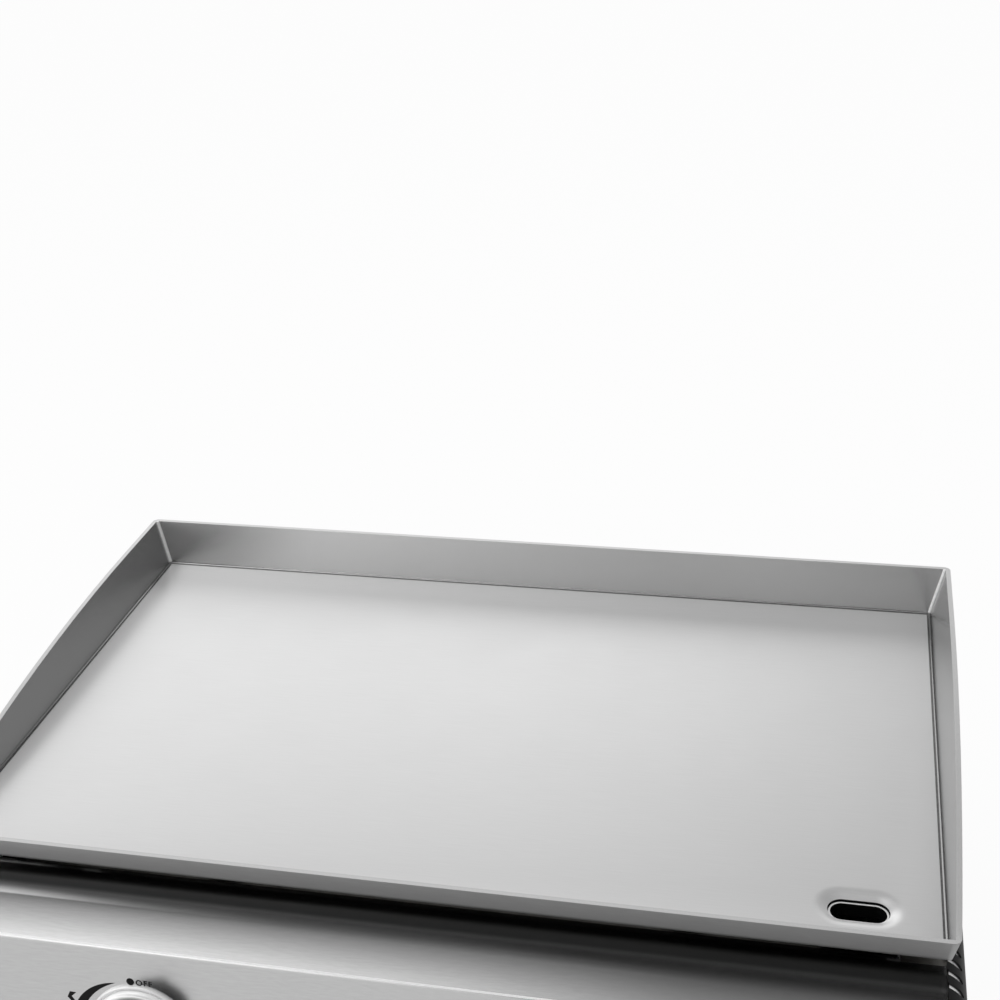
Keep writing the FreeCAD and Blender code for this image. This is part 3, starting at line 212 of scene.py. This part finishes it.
lamp_data = bpy.data.lights.new("soft_lamp", "AREA")
lamp_data.size = 1.6
lamp_data.energy = 22.0
lamp = bpy.data.objects.new("soft_lamp", lamp_data)
lamp_place = Vector((-0.9, -0.5, 2.1))
lamp_turn = (-lamp_place).to_track_quat("-Z", "Y").to_matrix().to_4x4()
lamp.matrix_world = Matrix.Translation(lamp_place) @ lamp_turn
lamp.visible_glossy = False
for staged in (floor, tent, lamp):
    bpy.context.scene.collection.objects.link(staged)


# Rubber feet: four moulded black rubber feet under the tray, each held by one zinc-plated screw. The functions
# that every later piece uses as well start here.
def finish(name, code, roughness, metal=0.0, grain=(1, 1, 1), tone=0.1, depth=0.02, brush=None, specular=0.5):
    """Material from its colour, roughness and metalness, the size of its grain in mm along X, Y and Z, how much
    the grain darkens it, how deep the grain is in mm, for a brushed metal the direction of the strokes, and the
    strength of a plastic's or a paint's sheen."""
    smudge_size = 35 * mm
    smudge_share = 0.03
    material = bpy.data.materials.new(name)
    material.use_nodes = True
    tree = material.node_tree
    shader = tree.nodes["Principled BSDF"]
    shader.inputs["Metallic"].default_value = metal
    shader.inputs["Specular IOR Level"].default_value = specular
    place = add(tree, "ShaderNodeTexCoord").outputs["Object"]
    sizes = add(tree, "ShaderNodeMapping", {"Scale": [1 / (size * mm) for size in grain]}, {"Vector": place})
    fine = add(tree, "ShaderNodeTexNoise", {"Scale": 1.0, "Detail": 2.0, "Roughness": 0.6}, {"Vector": sizes})
    spread = add(tree, "ShaderNodeMapRange", {"From Min": 0.35, "From Max": 0.65},
                 {"Value": fine.outputs["Fac"]})
    light = linear(code)
    dark = tuple(part * (1 - tone) for part in light[:3]) + (1.0,)
    shade = add(tree, "ShaderNodeMix", {"data_type": "RGBA", 6: dark, 7: light}, {0: spread})
    tree.links.new(shade.outputs[2], shader.inputs["Base Color"])
    smudges = add(tree, "ShaderNodeTexNoise", {"Scale": 1 / smudge_size, "Detail": 3.0}, {"Vector": place})
    gloss = add(tree, "ShaderNodeMapRange",
                {"From Min": 0.3, "From Max": 0.7, "To Min": roughness * (1 - smudge_share),
                 "To Max": roughness * (1 + smudge_share)}, {"Value": smudges.outputs["Fac"]})
    tree.links.new(gloss.outputs[0], shader.inputs["Roughness"])
    relief = add(tree, "ShaderNodeBump", {"Strength": 1.0, "Distance": depth * mm},
                 {"Height": fine.outputs["Fac"]})
    tree.links.new(relief.outputs[0], shader.inputs["Normal"])
    if brush:
        shader.inputs["Anisotropic"].default_value = 0.7
        facing = add(tree, "ShaderNodeNewGeometry")
        across = add(tree, "ShaderNodeVectorMath", {"operation": "CROSS_PRODUCT", 1: brush},
                     {0: facing.outputs["Normal"]})
        tree.links.new(across.outputs[0], shader.inputs["Tangent"])
    return material


def made(work, name, body, slot, *materials):
    """Object of the griddle from a bmesh. It rides on a body and wears the materials given; the slot argument is
    not used.
    """
    data = bpy.data.meshes.new(name)
    work.to_mesh(data)
    work.free()
    for material in materials:
        data.materials.append(material)
    piece = bpy.data.objects.new(name, data)
    bpy.context.scene.collection.objects.link(piece)
    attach(piece, body)
    return piece


def smooth_sides(work, turn=32.0):
    """Shades a bmesh smoothly except over edges that turn more than so many degrees."""
    for face in work.faces:
        face.smooth = True
    for edge in work.edges:
        edge.smooth = edge.calc_face_angle(0.0) < math.radians(turn)


def merged(node):
    """Bmesh of a CAD node with its triangles merged into whole faces."""
    work = bmesh.new()
    work.from_mesh(frame["nodes"][node].data)
    bmesh.ops.remove_doubles(work, verts=work.verts, dist=0.004 * mm)
    bmesh.ops.dissolve_limit(work, angle_limit=math.radians(0.2), verts=work.verts, edges=work.edges)
    smooth_sides(work)
    return work


def ease_edges(piece, width):
    """Rounds the sharp edges of a piece by so many mm, as deburring and tumbling do."""
    ease = piece.modifiers.new("eased_edges", "BEVEL")
    ease.width = width * mm
    ease.segments = 2
    ease.limit_method = "ANGLE"
    ease.angle_limit = math.radians(32)
    ease.use_clamp_overlap = True
    ease.harden_normals = False
    weigh = piece.modifiers.new("even_shading", "WEIGHTED_NORMAL")
    weigh.keep_sharp = True


slots = {part["node"]: part["material_slot"] for part in frame["record"]["subparts"]}


def dressed(node, *materials, width=0.2, work=None):
    """Finished copy of a CAD node, which takes its place on the same body."""
    piece = made(work or merged(node), node + "_skin", frame["nodes"][node]["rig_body"], slots[node], *materials)
    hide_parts(node)
    if width:
        ease_edges(piece, width)
    return piece


# Vulcanised rubber from a blasted mould: nearly black and quite matt, with a fine even grain.
foot_rubber = finish("moulded_rubber", "1C1C1D", 0.75, grain=(0.8, 0.8, 0.8), tone=0.25, depth=0.04)
# Zinc-plated steel: pale cool grey with soft cloudy tones from the bath.
zinc_steel = finish("zinc_plated_steel", "B9BABB", 0.32, metal=1.0, grain=(3, 3, 3), tone=0.12, depth=0.003)
dressed("rubber_feet", foot_rubber, width=0.5)
dressed("foot_screws", zinc_steel)


# Bottom tray: folded sheet steel with turned-up edges, powder coated black like the covers. The photograph
# doesn't show it.
# Baked powder coat: black, satin, with the faint orange peel of a flowed powder.
tray_coat = finish("tray_powder_coat", "242425", 0.42, grain=(1.6, 1.6, 1.6), tone=0.12, depth=0.012)
dressed("bottom_tray", tray_coat)


# Grease path: a folded bright steel chute under the slot, a drawn cup with a rolled rim and a pull plate, and
# two folded rails that stand on the tray.
# Cold-rolled stainless sheet as it comes from the mill: bright, with faint roll lines.
mill_steel = finish("mill_finish_stainless", "D2D2D0", 0.28, metal=1.0, grain=(12, 1.2, 12), tone=0.06,
                    depth=0.002)
# Plain stainless sheet that has been heated and handled: duller and a little warm.
sheet_steel = finish("dull_stainless_sheet", "A8A6A2", 0.42, metal=1.0, grain=(9, 2, 9), tone=0.14, depth=0.004)
dressed("grease_chute", mill_steel, width=0.15)
dressed("grease_cup", mill_steel, width=0.2)
dressed("cup_rails", sheet_steel)


# Firebox: spot-welded sheets hung between the covers, with the rests for the griddle feet, the shelf for the
# burner tails and the bright heat shields that show through the vents of the covers.
for node in ("firebox_floor", "firebox_front", "firebox_back", "firebox_ends", "griddle_rests",
             "firebox_hangers", "burner_shelf"):
    dressed(node, sheet_steel, width=0.15)
# Aluminised steel shield: matt and nearly white, so it shows as pale crescents through the vents.
shield_steel = finish("aluminised_shield", "FAFAFA", 0.5, metal=0.2, grain=(2, 2, 2), tone=0.03, depth=0.004)
shield_low, shield_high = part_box("side_heat_shields")
crest_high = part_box("control_panel")[1]
cover_side = 296.3 * mm
shoulder = 18 * mm
shield_arc = 16.4 * mm
shield_sheet = 0.8 * mm
hook_x = 262 * mm
hook_drop = 16 * mm
shoulder_middle = Vector((cover_side - shoulder, shield_low.y, crest_high.z - shoulder))
start_turn = math.acos((shield_high.z - shoulder_middle.z) / shield_arc)
for side in (-1, 1):
    # The sheet's profile: a hook down beside the firebox, a flat top, an arc under the shoulder, a long side.
    work = bmesh.new()
    corner = shoulder_middle + Vector((math.sin(start_turn), 0, math.cos(start_turn))) * shield_arc
    path = [work.verts.new((hook_x, shield_low.y, shield_high.z - hook_drop)),
            work.verts.new((hook_x, shield_low.y, shield_high.z)), work.verts.new(corner)]
    for first, second in zip(path, path[1:]):
        work.edges.new((first, second))
    bmesh.ops.spin(work, geom=[path[-1]], cent=shoulder_middle, axis=(0, 1, 0),
                   angle=math.radians(90) - start_turn, steps=14)
    end = max(work.verts, key=lambda vert: vert.co.x)
    foot = work.verts.new((end.co.x, shield_low.y, shield_low.z))
    work.edges.new((end, foot))
    bmesh.ops.remove_doubles(work, verts=work.verts, dist=0.01 * mm)
    drawn = bmesh.ops.extrude_edge_only(work, edges=work.edges)
    far = [item for item in drawn["geom"] if isinstance(item, bmesh.types.BMVert)]
    bmesh.ops.translate(work, verts=far, vec=(0, shield_high.y - shield_low.y, 0))
    bmesh.ops.recalc_face_normals(work, faces=work.faces)
    bmesh.ops.solidify(work, geom=work.faces, thickness=shield_sheet)
    if side < 0:
        bmesh.ops.scale(work, vec=(-1, 1, 1), verts=work.verts)
    bmesh.ops.recalc_face_normals(work, faces=work.faces)
    smooth_sides(work)
    # The flat top is dull sheet, a painted shade for the shadow under the griddle's lip, where no pale strip
    # shows.
    for face in work.faces:
        if abs(face.normal.z) > 0.98:
            face.material_index = 1
    shield = made(work, "left_shield" if side < 0 else "right_shield", "body", "liner_steel", shield_steel,
                  sheet_steel)
    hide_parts("side_heat_shields")


# Burners: stainless tubes welded to an H, with sawn ports, a flared mouth and a sheet collar as air shutter.
# They show only when the griddle is lifted off.
# Thin tube that has glowed: grey with straw and bluish heat colours in long soft clouds.
burner_steel = finish("heat_tinted_tube", "9C958C", 0.36, metal=1.0, grain=(22, 30, 22), tone=0.28, depth=0.003)
dressed("left_burner", burner_steel, width=0.12)
dressed("right_burner", burner_steel, width=0.12)
dressed("air_shutters", zinc_steel, width=0.12)


# Spark electrodes: a glazed ceramic rod with a steel needle, a sheet clip on the firebox wall, and a silicone
# lead from each igniter.
# Glazed steatite: off-white and glossy, with hardly any tone.
glazed_ceramic = finish("glazed_ceramic", "E4E1D8", 0.18, grain=(2, 2, 2), tone=0.05, depth=0.002)
# Extruded silicone sleeve: dusty red, soft sheen.
silicone_sleeve = finish("silicone_sleeve", "A63A2C", 0.55, grain=(1.2, 1.2, 1.2), tone=0.15, depth=0.01)
dressed("electrodes", glazed_ceramic, width=0.15)
dressed("electrode_clips", sheet_steel)
dressed("igniter_leads", silicone_sleeve, width=0)


# Gas train: zinc-plated manifold tube with pressed caps and sheet brackets, aluminium supply tube, brass inlet
# fitting with its thread, die-cast valves with caps, brass orifices, stems and plungers, and piezo igniters.
# Die-cast aluminium: pale grey, satin, with a fine sandy skin from the die.
cast_aluminium = finish("die_cast_aluminium", "B4B5B6", 0.4, metal=1.0, grain=(0.7, 0.7, 0.7), tone=0.12,
                        depth=0.02)
# Turned free-cutting brass: warm yellow with fine rings from the lathe.
turned_brass = finish("turned_brass", "C9A45A", 0.25, metal=1.0, grain=(6, 0.5, 6), tone=0.1, depth=0.003)
# Moulded black igniter housing, like any small nylon part: dark and half matt.
igniter_nylon = finish("moulded_nylon", "262627", 0.5, grain=(0.6, 0.6, 0.6), tone=0.15, depth=0.01)
for node in ("manifold", "manifold_caps"):
    dressed(node, zinc_steel)
dressed("manifold_brackets", sheet_steel)
dressed("supply_tube", cast_aluminium, width=0)
for side in ("left", "right"):
    dressed(side + "_valve", cast_aluminium, width=0.5)
    dressed(side + "_stem", turned_brass, width=0.1)
    dressed(side + "_plunger", turned_brass, width=0.1)
dressed("valve_caps", cast_aluminium)
dressed("orifices", turned_brass)
dressed("piezo_igniters", igniter_nylon, width=0.4)
dressed("gas_inlet", turned_brass, width=0.3)


# Control panel: one brushed stainless sheet, rolled over at the top and creased above the knobs, with the marks
# screen printed in black, and a sheet bracket behind each end.
# Fine brushed stainless, strokes along the length: mirror-like along the grain and blurred across it.
panel_steel = finish("brushed_panel_steel", "DEDEDE", 0.18, metal=1.0, grain=(7, 0.7, 0.7), tone=0.05,
                     depth=0.0009, brush=(1, 0, 0))
# The top of the roll, beside the griddle, is darkened in the sheet's own colour. That stands in for a dark
# reflection in the photograph which the tent doesn't give.
strip_back = -160.5 * mm
strip_front = -170.5 * mm
strip_level = 0.12
panel_tree = panel_steel.node_tree
panel_shader = panel_tree.nodes["Principled BSDF"]
panel_parts = add(panel_tree, "ShaderNodeSeparateXYZ", {},
                  {0: add(panel_tree, "ShaderNodeTexCoord").outputs["Object"]})
strip = add(panel_tree, "ShaderNodeMapRange", {"interpolation_type": "SMOOTHSTEP", "From Min": strip_back,
                                               "From Max": strip_front, "To Min": strip_level},
            {"Value": panel_parts.outputs["Y"]})
darkened = add(panel_tree, "ShaderNodeVectorMath", {"operation": "SCALE"},
               {0: panel_shader.inputs["Base Color"].links[0].from_socket, "Scale": strip})
panel_tree.links.new(darkened.outputs[0], panel_shader.inputs["Base Color"])
# The outside of the sheet's sharp bend shows as a bright line along the crease: a painted highlight, near white
# and partly diffuse.
crease_highlight_paint = finish("painted_crease_highlight", "F2F2F2", 0.35, metal=0.25, grain=(3, 0.6, 0.6), tone=0.08, depth=0.002)
crease_height = 186 * mm
panel = merged("control_panel")
# The bend's faces along the crease take the painted highlight.
for face in panel.faces:
    middle = face.calc_center_median()
    if face.normal.y < -0.62 and face.normal.z > 0.47 and middle.z > crease_height:
        face.material_index = 1
dressed("control_panel", panel_steel, crease_highlight_paint, width=0, work=panel)
dressed("panel_brackets", sheet_steel)

# Screen-printing ink, baked: thin, black and half matt.
print_ink = finish("screen_ink", "0C0C0D", 0.7, grain=(0.5, 0.5, 0.5), tone=0.2, depth=0.004, specular=0.25)
knob_axis = {joint["name"]: Vector(joint["pos_m"]) for joint in frame["joints"] if joint["type"] == "hinge"}
panel_tilt = 5.0
ink_height = 0.05 * mm
upright = Matrix.Rotation(math.radians(90), 4, "X")


def at_knob(name):
    """Place of a knob: X along the panel, -Y out of its face, Z up the face."""
    return Matrix.Translation(knob_axis[name + "_turn"]) @ Matrix.Rotation(math.radians(-panel_tilt), 4, "X")


def on_face(points, name):
    """One flat printed shape from its corners in mm right of and above the knob axis."""
    work = bmesh.new()
    corners = [work.verts.new((x * mm, -ink_height, z * mm)) for x, z in points]
    work.faces.new(corners)
    work.normal_update()
    bmesh.ops.triangulate(work, faces=work.faces)
    work.transform(at_knob(name))
    return work


# Sizes of the marks in mm and degrees, and their places right of and above the knob axis. The crescent runs
# round the knob's left side from the top and swells in its middle.
word_height, word_weight, word_spacing = 5.0, 0.1, 1.2
word_x, word_z = -0.3, 31.1
dot_radius, dot_x, dot_z = 2.3, -3.35, 32.94
crescent_start, crescent_sweep, crescent_steps = 22, 136, 44
crescent_radius, crescent_width, crescent_hollow, hollow_power = 33.2, 8.0, 2.0, 1.6
spark = [(-41.0, 21.1), (-37.1, 21.0), (-40.2, 18.0), (-38.3, 15.0), (-43.6, 9.2), (-40.6, 14.6), (-42.8, 17.3)]
for side in ("left", "right"):
    letters = bpy.data.curves.new(side + "_off", "FONT")
    letters.body = "OFF"
    letters.size = word_height * mm
    letters.offset = word_weight * mm
    letters.space_character = word_spacing
    letters_object = bpy.data.objects.new(side + "_off_shape", letters)
    work = bmesh.new()
    work.from_mesh(letters_object.to_mesh())
    letters_object.to_mesh_clear()
    bpy.data.objects.remove(letters_object)
    work.transform(Matrix.Translation((word_x * mm, -ink_height, word_z * mm)) @ upright)
    work.transform(at_knob(side))
    made(work, side + "_off_mark", "body", "panel_steel", print_ink)

    dot = bmesh.new()
    bmesh.ops.create_circle(dot, cap_ends=True, segments=40, radius=dot_radius * mm)
    dot.transform(at_knob(side) @ Matrix.Translation((dot_x * mm, -ink_height, dot_z * mm)) @ upright)
    made(dot, side + "_off_dot", "body", "panel_steel", print_ink)

    shares = [step / crescent_steps for step in range(crescent_steps + 1)]
    turns = [math.radians(crescent_start + crescent_sweep * share) for share in shares]
    swell = [math.sin(math.pi * share) for share in shares]
    outer = [crescent_radius + crescent_width * lift for lift in swell]
    inner = [crescent_radius + crescent_hollow * max(lift, 0) ** hollow_power for lift in swell]
    crescent = [(-r * math.sin(turn), r * math.cos(turn)) for turn, r in zip(turns, outer)]
    crescent += [(-r * math.sin(turn), r * math.cos(turn)) for turn, r in list(zip(turns, inner))[-2:0:-1]]
    made(on_face(crescent, side), side + "_flame_crescent", "body", "panel_steel", print_ink)
    made(on_face(spark, side), side + "_spark_mark", "body", "panel_steel", print_ink)


# Bezels and knobs: a drawn satin-chrome ring round each knob, and a moulded black knob with a finger bar that
# has a white line set into its end.
# Satin chrome over drawn steel: bright and clean, a little blurred.
satin_chrome = finish("satin_chrome", "F4F4F4", 0.3, metal=0.4, grain=(0.6, 0.6, 0.6), tone=0.04, depth=0.002)
# Moulded phenolic: black, fine matt from the mould.
knob_plastic = finish("moulded_phenolic", "1B1B1C", 0.48, grain=(0.5, 0.5, 0.5), tone=0.2, depth=0.012)
# Filled-in white paint of the pointer line.
pointer_paint = finish("pointer_paint", "E9E8E4", 0.5, grain=(0.8, 0.8, 0.8), tone=0.06, depth=0.004)
pointer_size = Vector((1.7, 0.55, 6.6)) * mm
pointer_round = 0.2 * mm
pointer_place = Vector((0, -30.5, 9.5)) * mm
for side in ("left", "right"):
    dressed(side + "_bezel", satin_chrome, width=0)
    dressed(side + "_knob", knob_plastic, width=0.3)
    bar = bmesh.new()
    bmesh.ops.create_cube(bar, size=1.0)
    bmesh.ops.scale(bar, vec=pointer_size, verts=bar.verts)
    bmesh.ops.bevel(bar, geom=bar.edges, offset=pointer_round, segments=2, profile=0.5, affect="EDGES",
                    material=-1)
    bar.transform(at_knob(side) @ Matrix.Translation(pointer_place))
    smooth_sides(bar)
    made(bar, side + "_pointer_line", side + "_knob", "knob_plastic", pointer_paint)


# Side covers: folded black sheet with a round shoulder, a row of vent slots across it and a moulded grip in
# the hand hole, all held by pan-head screws.
# Baked powder coat of the covers: black, satin, slightly rippled, with soft highlights on the shoulder.
cover_coat = finish("cover_powder_coat", "141415", 0.4, grain=(1.4, 1.4, 1.4), tone=0.1, depth=0.008,
                    specular=0.3)
# Moulded polypropylene grip: dark and matt.
grip_plastic = finish("moulded_grip", "202021", 0.6, grain=(0.7, 0.7, 0.7), tone=0.2, depth=0.02)
for side in ("left", "right"):
    dressed(side + "_side_cover", cover_coat, width=0.25)
dressed("hand_grips", grip_plastic, width=0.2)
dressed("cover_screws", zinc_steel)


# Back panel: folded black sheet with upright vent slots and a hole for the gas inlet. The photograph doesn't
# show it, and it has the covers' finish.
dressed("back_panel", cover_coat, width=0.2)
dressed("back_screws", zinc_steel)


# Griddle pan: a 3 mm floor plate seam welded into a surround that is bent up on four sides, with the slot and
# its spout at the front right, stiffeners and feet below. The whole pan lifts off the body. Several of its
# steels are partly diffuse (metal under 1), because plain metal came out darker than in the photograph.
# Thick brushed stainless plate, strokes along the length, as on the panel but a little coarser.
plate_steel = finish("brushed_plate_steel", "E8E8E8", 0.3, metal=0.62, grain=(25, 0.5, 0.5), tone=0.03,
                     depth=0.0005, brush=(1, 0, 0))
# Brushed sheet of the back wall, strokes along the length, and of the side walls, strokes from front to back.
wall_steel = finish("brushed_wall_steel", "DCDCDC", 0.22, metal=0.88, grain=(20, 0.5, 0.5), tone=0.03,
                    depth=0.0005, brush=(1, 0, 0))
side_steel = finish("brushed_side_steel", "ACACAC", 0.24, metal=1.0, grain=(0.5, 20, 0.5), tone=0.03,
                    depth=0.0005, brush=(0, 1, 0))
# The low front wall outside: paler and more matt than the walls, on a copy of the steel of its own.
front_lip_face_steel = finish("matt_front_lip", "BEBEBE", 0.4, metal=0.6, grain=(12, 0.6, 0.6), tone=0.05, depth=0.001)
# Cut and ground edge of the sheet: bright and half matt, with small dark pits left by the cut.
cut_edge = finish("ground_edge", "D2D2D2", 0.4, metal=0.5, grain=(0.6, 0.6, 0.6), tone=0.14, depth=0.008)
# Painted shade: the cut wall of the slot and the spout's sides are near black, for the shade down in the slot.
slot_shade_black = finish("painted_slot_shade", "101010", 0.5, metal=0.3, grain=(0.8, 0.8, 0.8), tone=0.3, depth=0.02)
# Weld metal along the floor seam, brushed after welding: greyer than the sheet, uneven in small ripples.
weld_metal = finish("brushed_weld", "A0A0A0", 0.4, metal=1.0, grain=(1.2, 1.2, 1.2), tone=0.45, depth=0.1)
# Weld beads in the back corners: bright, with soft ripples.
bead_metal = finish("bright_weld_bead", "F2F2F2", 0.35, metal=0.5, grain=(1.5, 1.5, 1.5), tone=0.15, depth=0.1)
plate_low, plate_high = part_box("griddle_plate")
slot_middle = Vector((plate_high.x - 44 * mm, plate_low.y + 28.2 * mm, plate_high.z))
slot_round = 8.2 * mm
slot_straight = 8.3 * mm
slot_turn = 2.5
plate_thick = 3 * mm


def slot_ring(work, out, drop):
    """Edges of a slot-shaped ring, so far outside the slot's edge and below the cooking surface."""
    turned = Matrix.Rotation(math.radians(slot_turn), 4, "Z")
    place = Matrix.Translation(slot_middle - Vector((0, 0, drop))) @ turned
    ring = bmesh.ops.create_circle(work, segments=72, radius=slot_round + out, matrix=place)["verts"]
    for vert in ring:
        vert.co.x += math.copysign(slot_straight, vert.co.x - slot_middle.x)
    return list(dict.fromkeys(edge for vert in ring for edge in vert.link_edges))


# Cooking plate, with the dish pressed down round the slot: how far out and how deep, from the slot's edge.
dish = [(0, 2.5), (0.5, 2.35), (1.4, 1.9), (2.6, 1.3), (3.8, 0.75), (5.2, 0.32), (6.8, 0.07), (8.4, 0)]
near_slot = 30 * mm
work = bmesh.new()
rings = [slot_ring(work, out * mm, drop * mm) for out, drop in dish]
for inner, outer in zip(rings, rings[1:]):
    bmesh.ops.bridge_loops(work, edges=inner + outer)
border = [work.verts.new((x, y, plate_high.z)) for x, y in (
    (plate_low.x, plate_low.y), (plate_high.x, plate_low.y), (plate_high.x, plate_high.y),
    (plate_low.x, plate_high.y))]
border_edges = [work.edges.new((border[n], border[n - 1])) for n in range(4)]
bmesh.ops.triangle_fill(work, use_beauty=True, use_dissolve=False, edges=border_edges + rings[-1],
                        normal=(0, 0, 1))
bmesh.ops.recalc_face_normals(work, faces=work.faces)
if max(work.faces, key=lambda face: face.calc_area()).normal.z < 0:
    bmesh.ops.reverse_faces(work, faces=work.faces)
bmesh.ops.solidify(work, geom=work.faces, thickness=plate_thick)
smooth_sides(work, 40)
# The slot's cut wall takes the painted shade.
for face in work.faces:
    if abs(face.normal.z) < 0.3 and (face.calc_center_median() - slot_middle).length < near_slot:
        face.material_index = 1
dressed("griddle_plate", plate_steel, slot_shade_black, width=0, work=work)

# Surround: side walls, then the front wall outside, the cut edge on top, and the side bends beside the plate.
rim_floor = plate_high.z + 5 * mm
bend_top = plate_high.z + 1.2 * mm
bend_side = plate_high.x - 1 * mm
surround = merged("griddle_surround")
for face in surround.faces:
    middle = face.calc_center_median()
    if abs(face.normal.x) > 0.5 and abs(face.normal.x) > abs(face.normal.y):
        face.material_index = 1
    if face.normal.y < -0.15 and middle.y < plate_low.y:
        face.material_index = 3
    if face.normal.z > 0.7 and middle.z > rim_floor:
        face.material_index = 2
    if abs(middle.x) > bend_side and middle.z < bend_top and face.normal.z > 0.2:
        face.material_index = 1
dressed("griddle_surround", wall_steel, side_steel, cut_edge, front_lip_face_steel, width=0.25, work=surround)

# Spout: a short sleeve under the slot. Only its top rim is bright, a painted highlight, and the rest is painted
# near-black shade.
spout_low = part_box("grease_spout")[0].z
spout_foot = plate_high.z - spout_low
spout_top = 3.9 * mm
spout_outside = -0.35 * mm
spout_inside = -1.55 * mm
work = bmesh.new()
spout_rings = [slot_ring(work, out, drop) for out, drop in (
    (spout_outside, spout_foot), (spout_outside, spout_top), (spout_inside, spout_top),
    (spout_inside, spout_foot))]
for inner, outer in zip(spout_rings, spout_rings[1:] + spout_rings[:1]):
    bmesh.ops.bridge_loops(work, edges=inner + outer)
bmesh.ops.recalc_face_normals(work, faces=work.faces)
smooth_sides(work, 40)
# Painted highlight: the spout's top rim is near white and partly diffuse, so it shows as a bright line.
spout_rim_highlight = finish("painted_spout_rim_highlight", "F4F4F4", 0.35, metal=0.4, grain=(2, 2, 2), tone=0.1, depth=0.01)
# All of the spout but its top rim takes the painted shade.
for face in work.faces:
    if face.normal.z < 0.9:
        face.material_index = 1
dressed("grease_spout", spout_rim_highlight, slot_shade_black, width=0.15, work=work)
dressed("floor_seam_weld", weld_metal, width=0.1)
dressed("corner_welds", bead_metal, width=0)
dressed("griddle_stiffeners", sheet_steel, width=0.3)
dressed("griddle_feet", zinc_steel, width=0.3)


bpy.context.scene.view_settings.view_transform = "Standard"
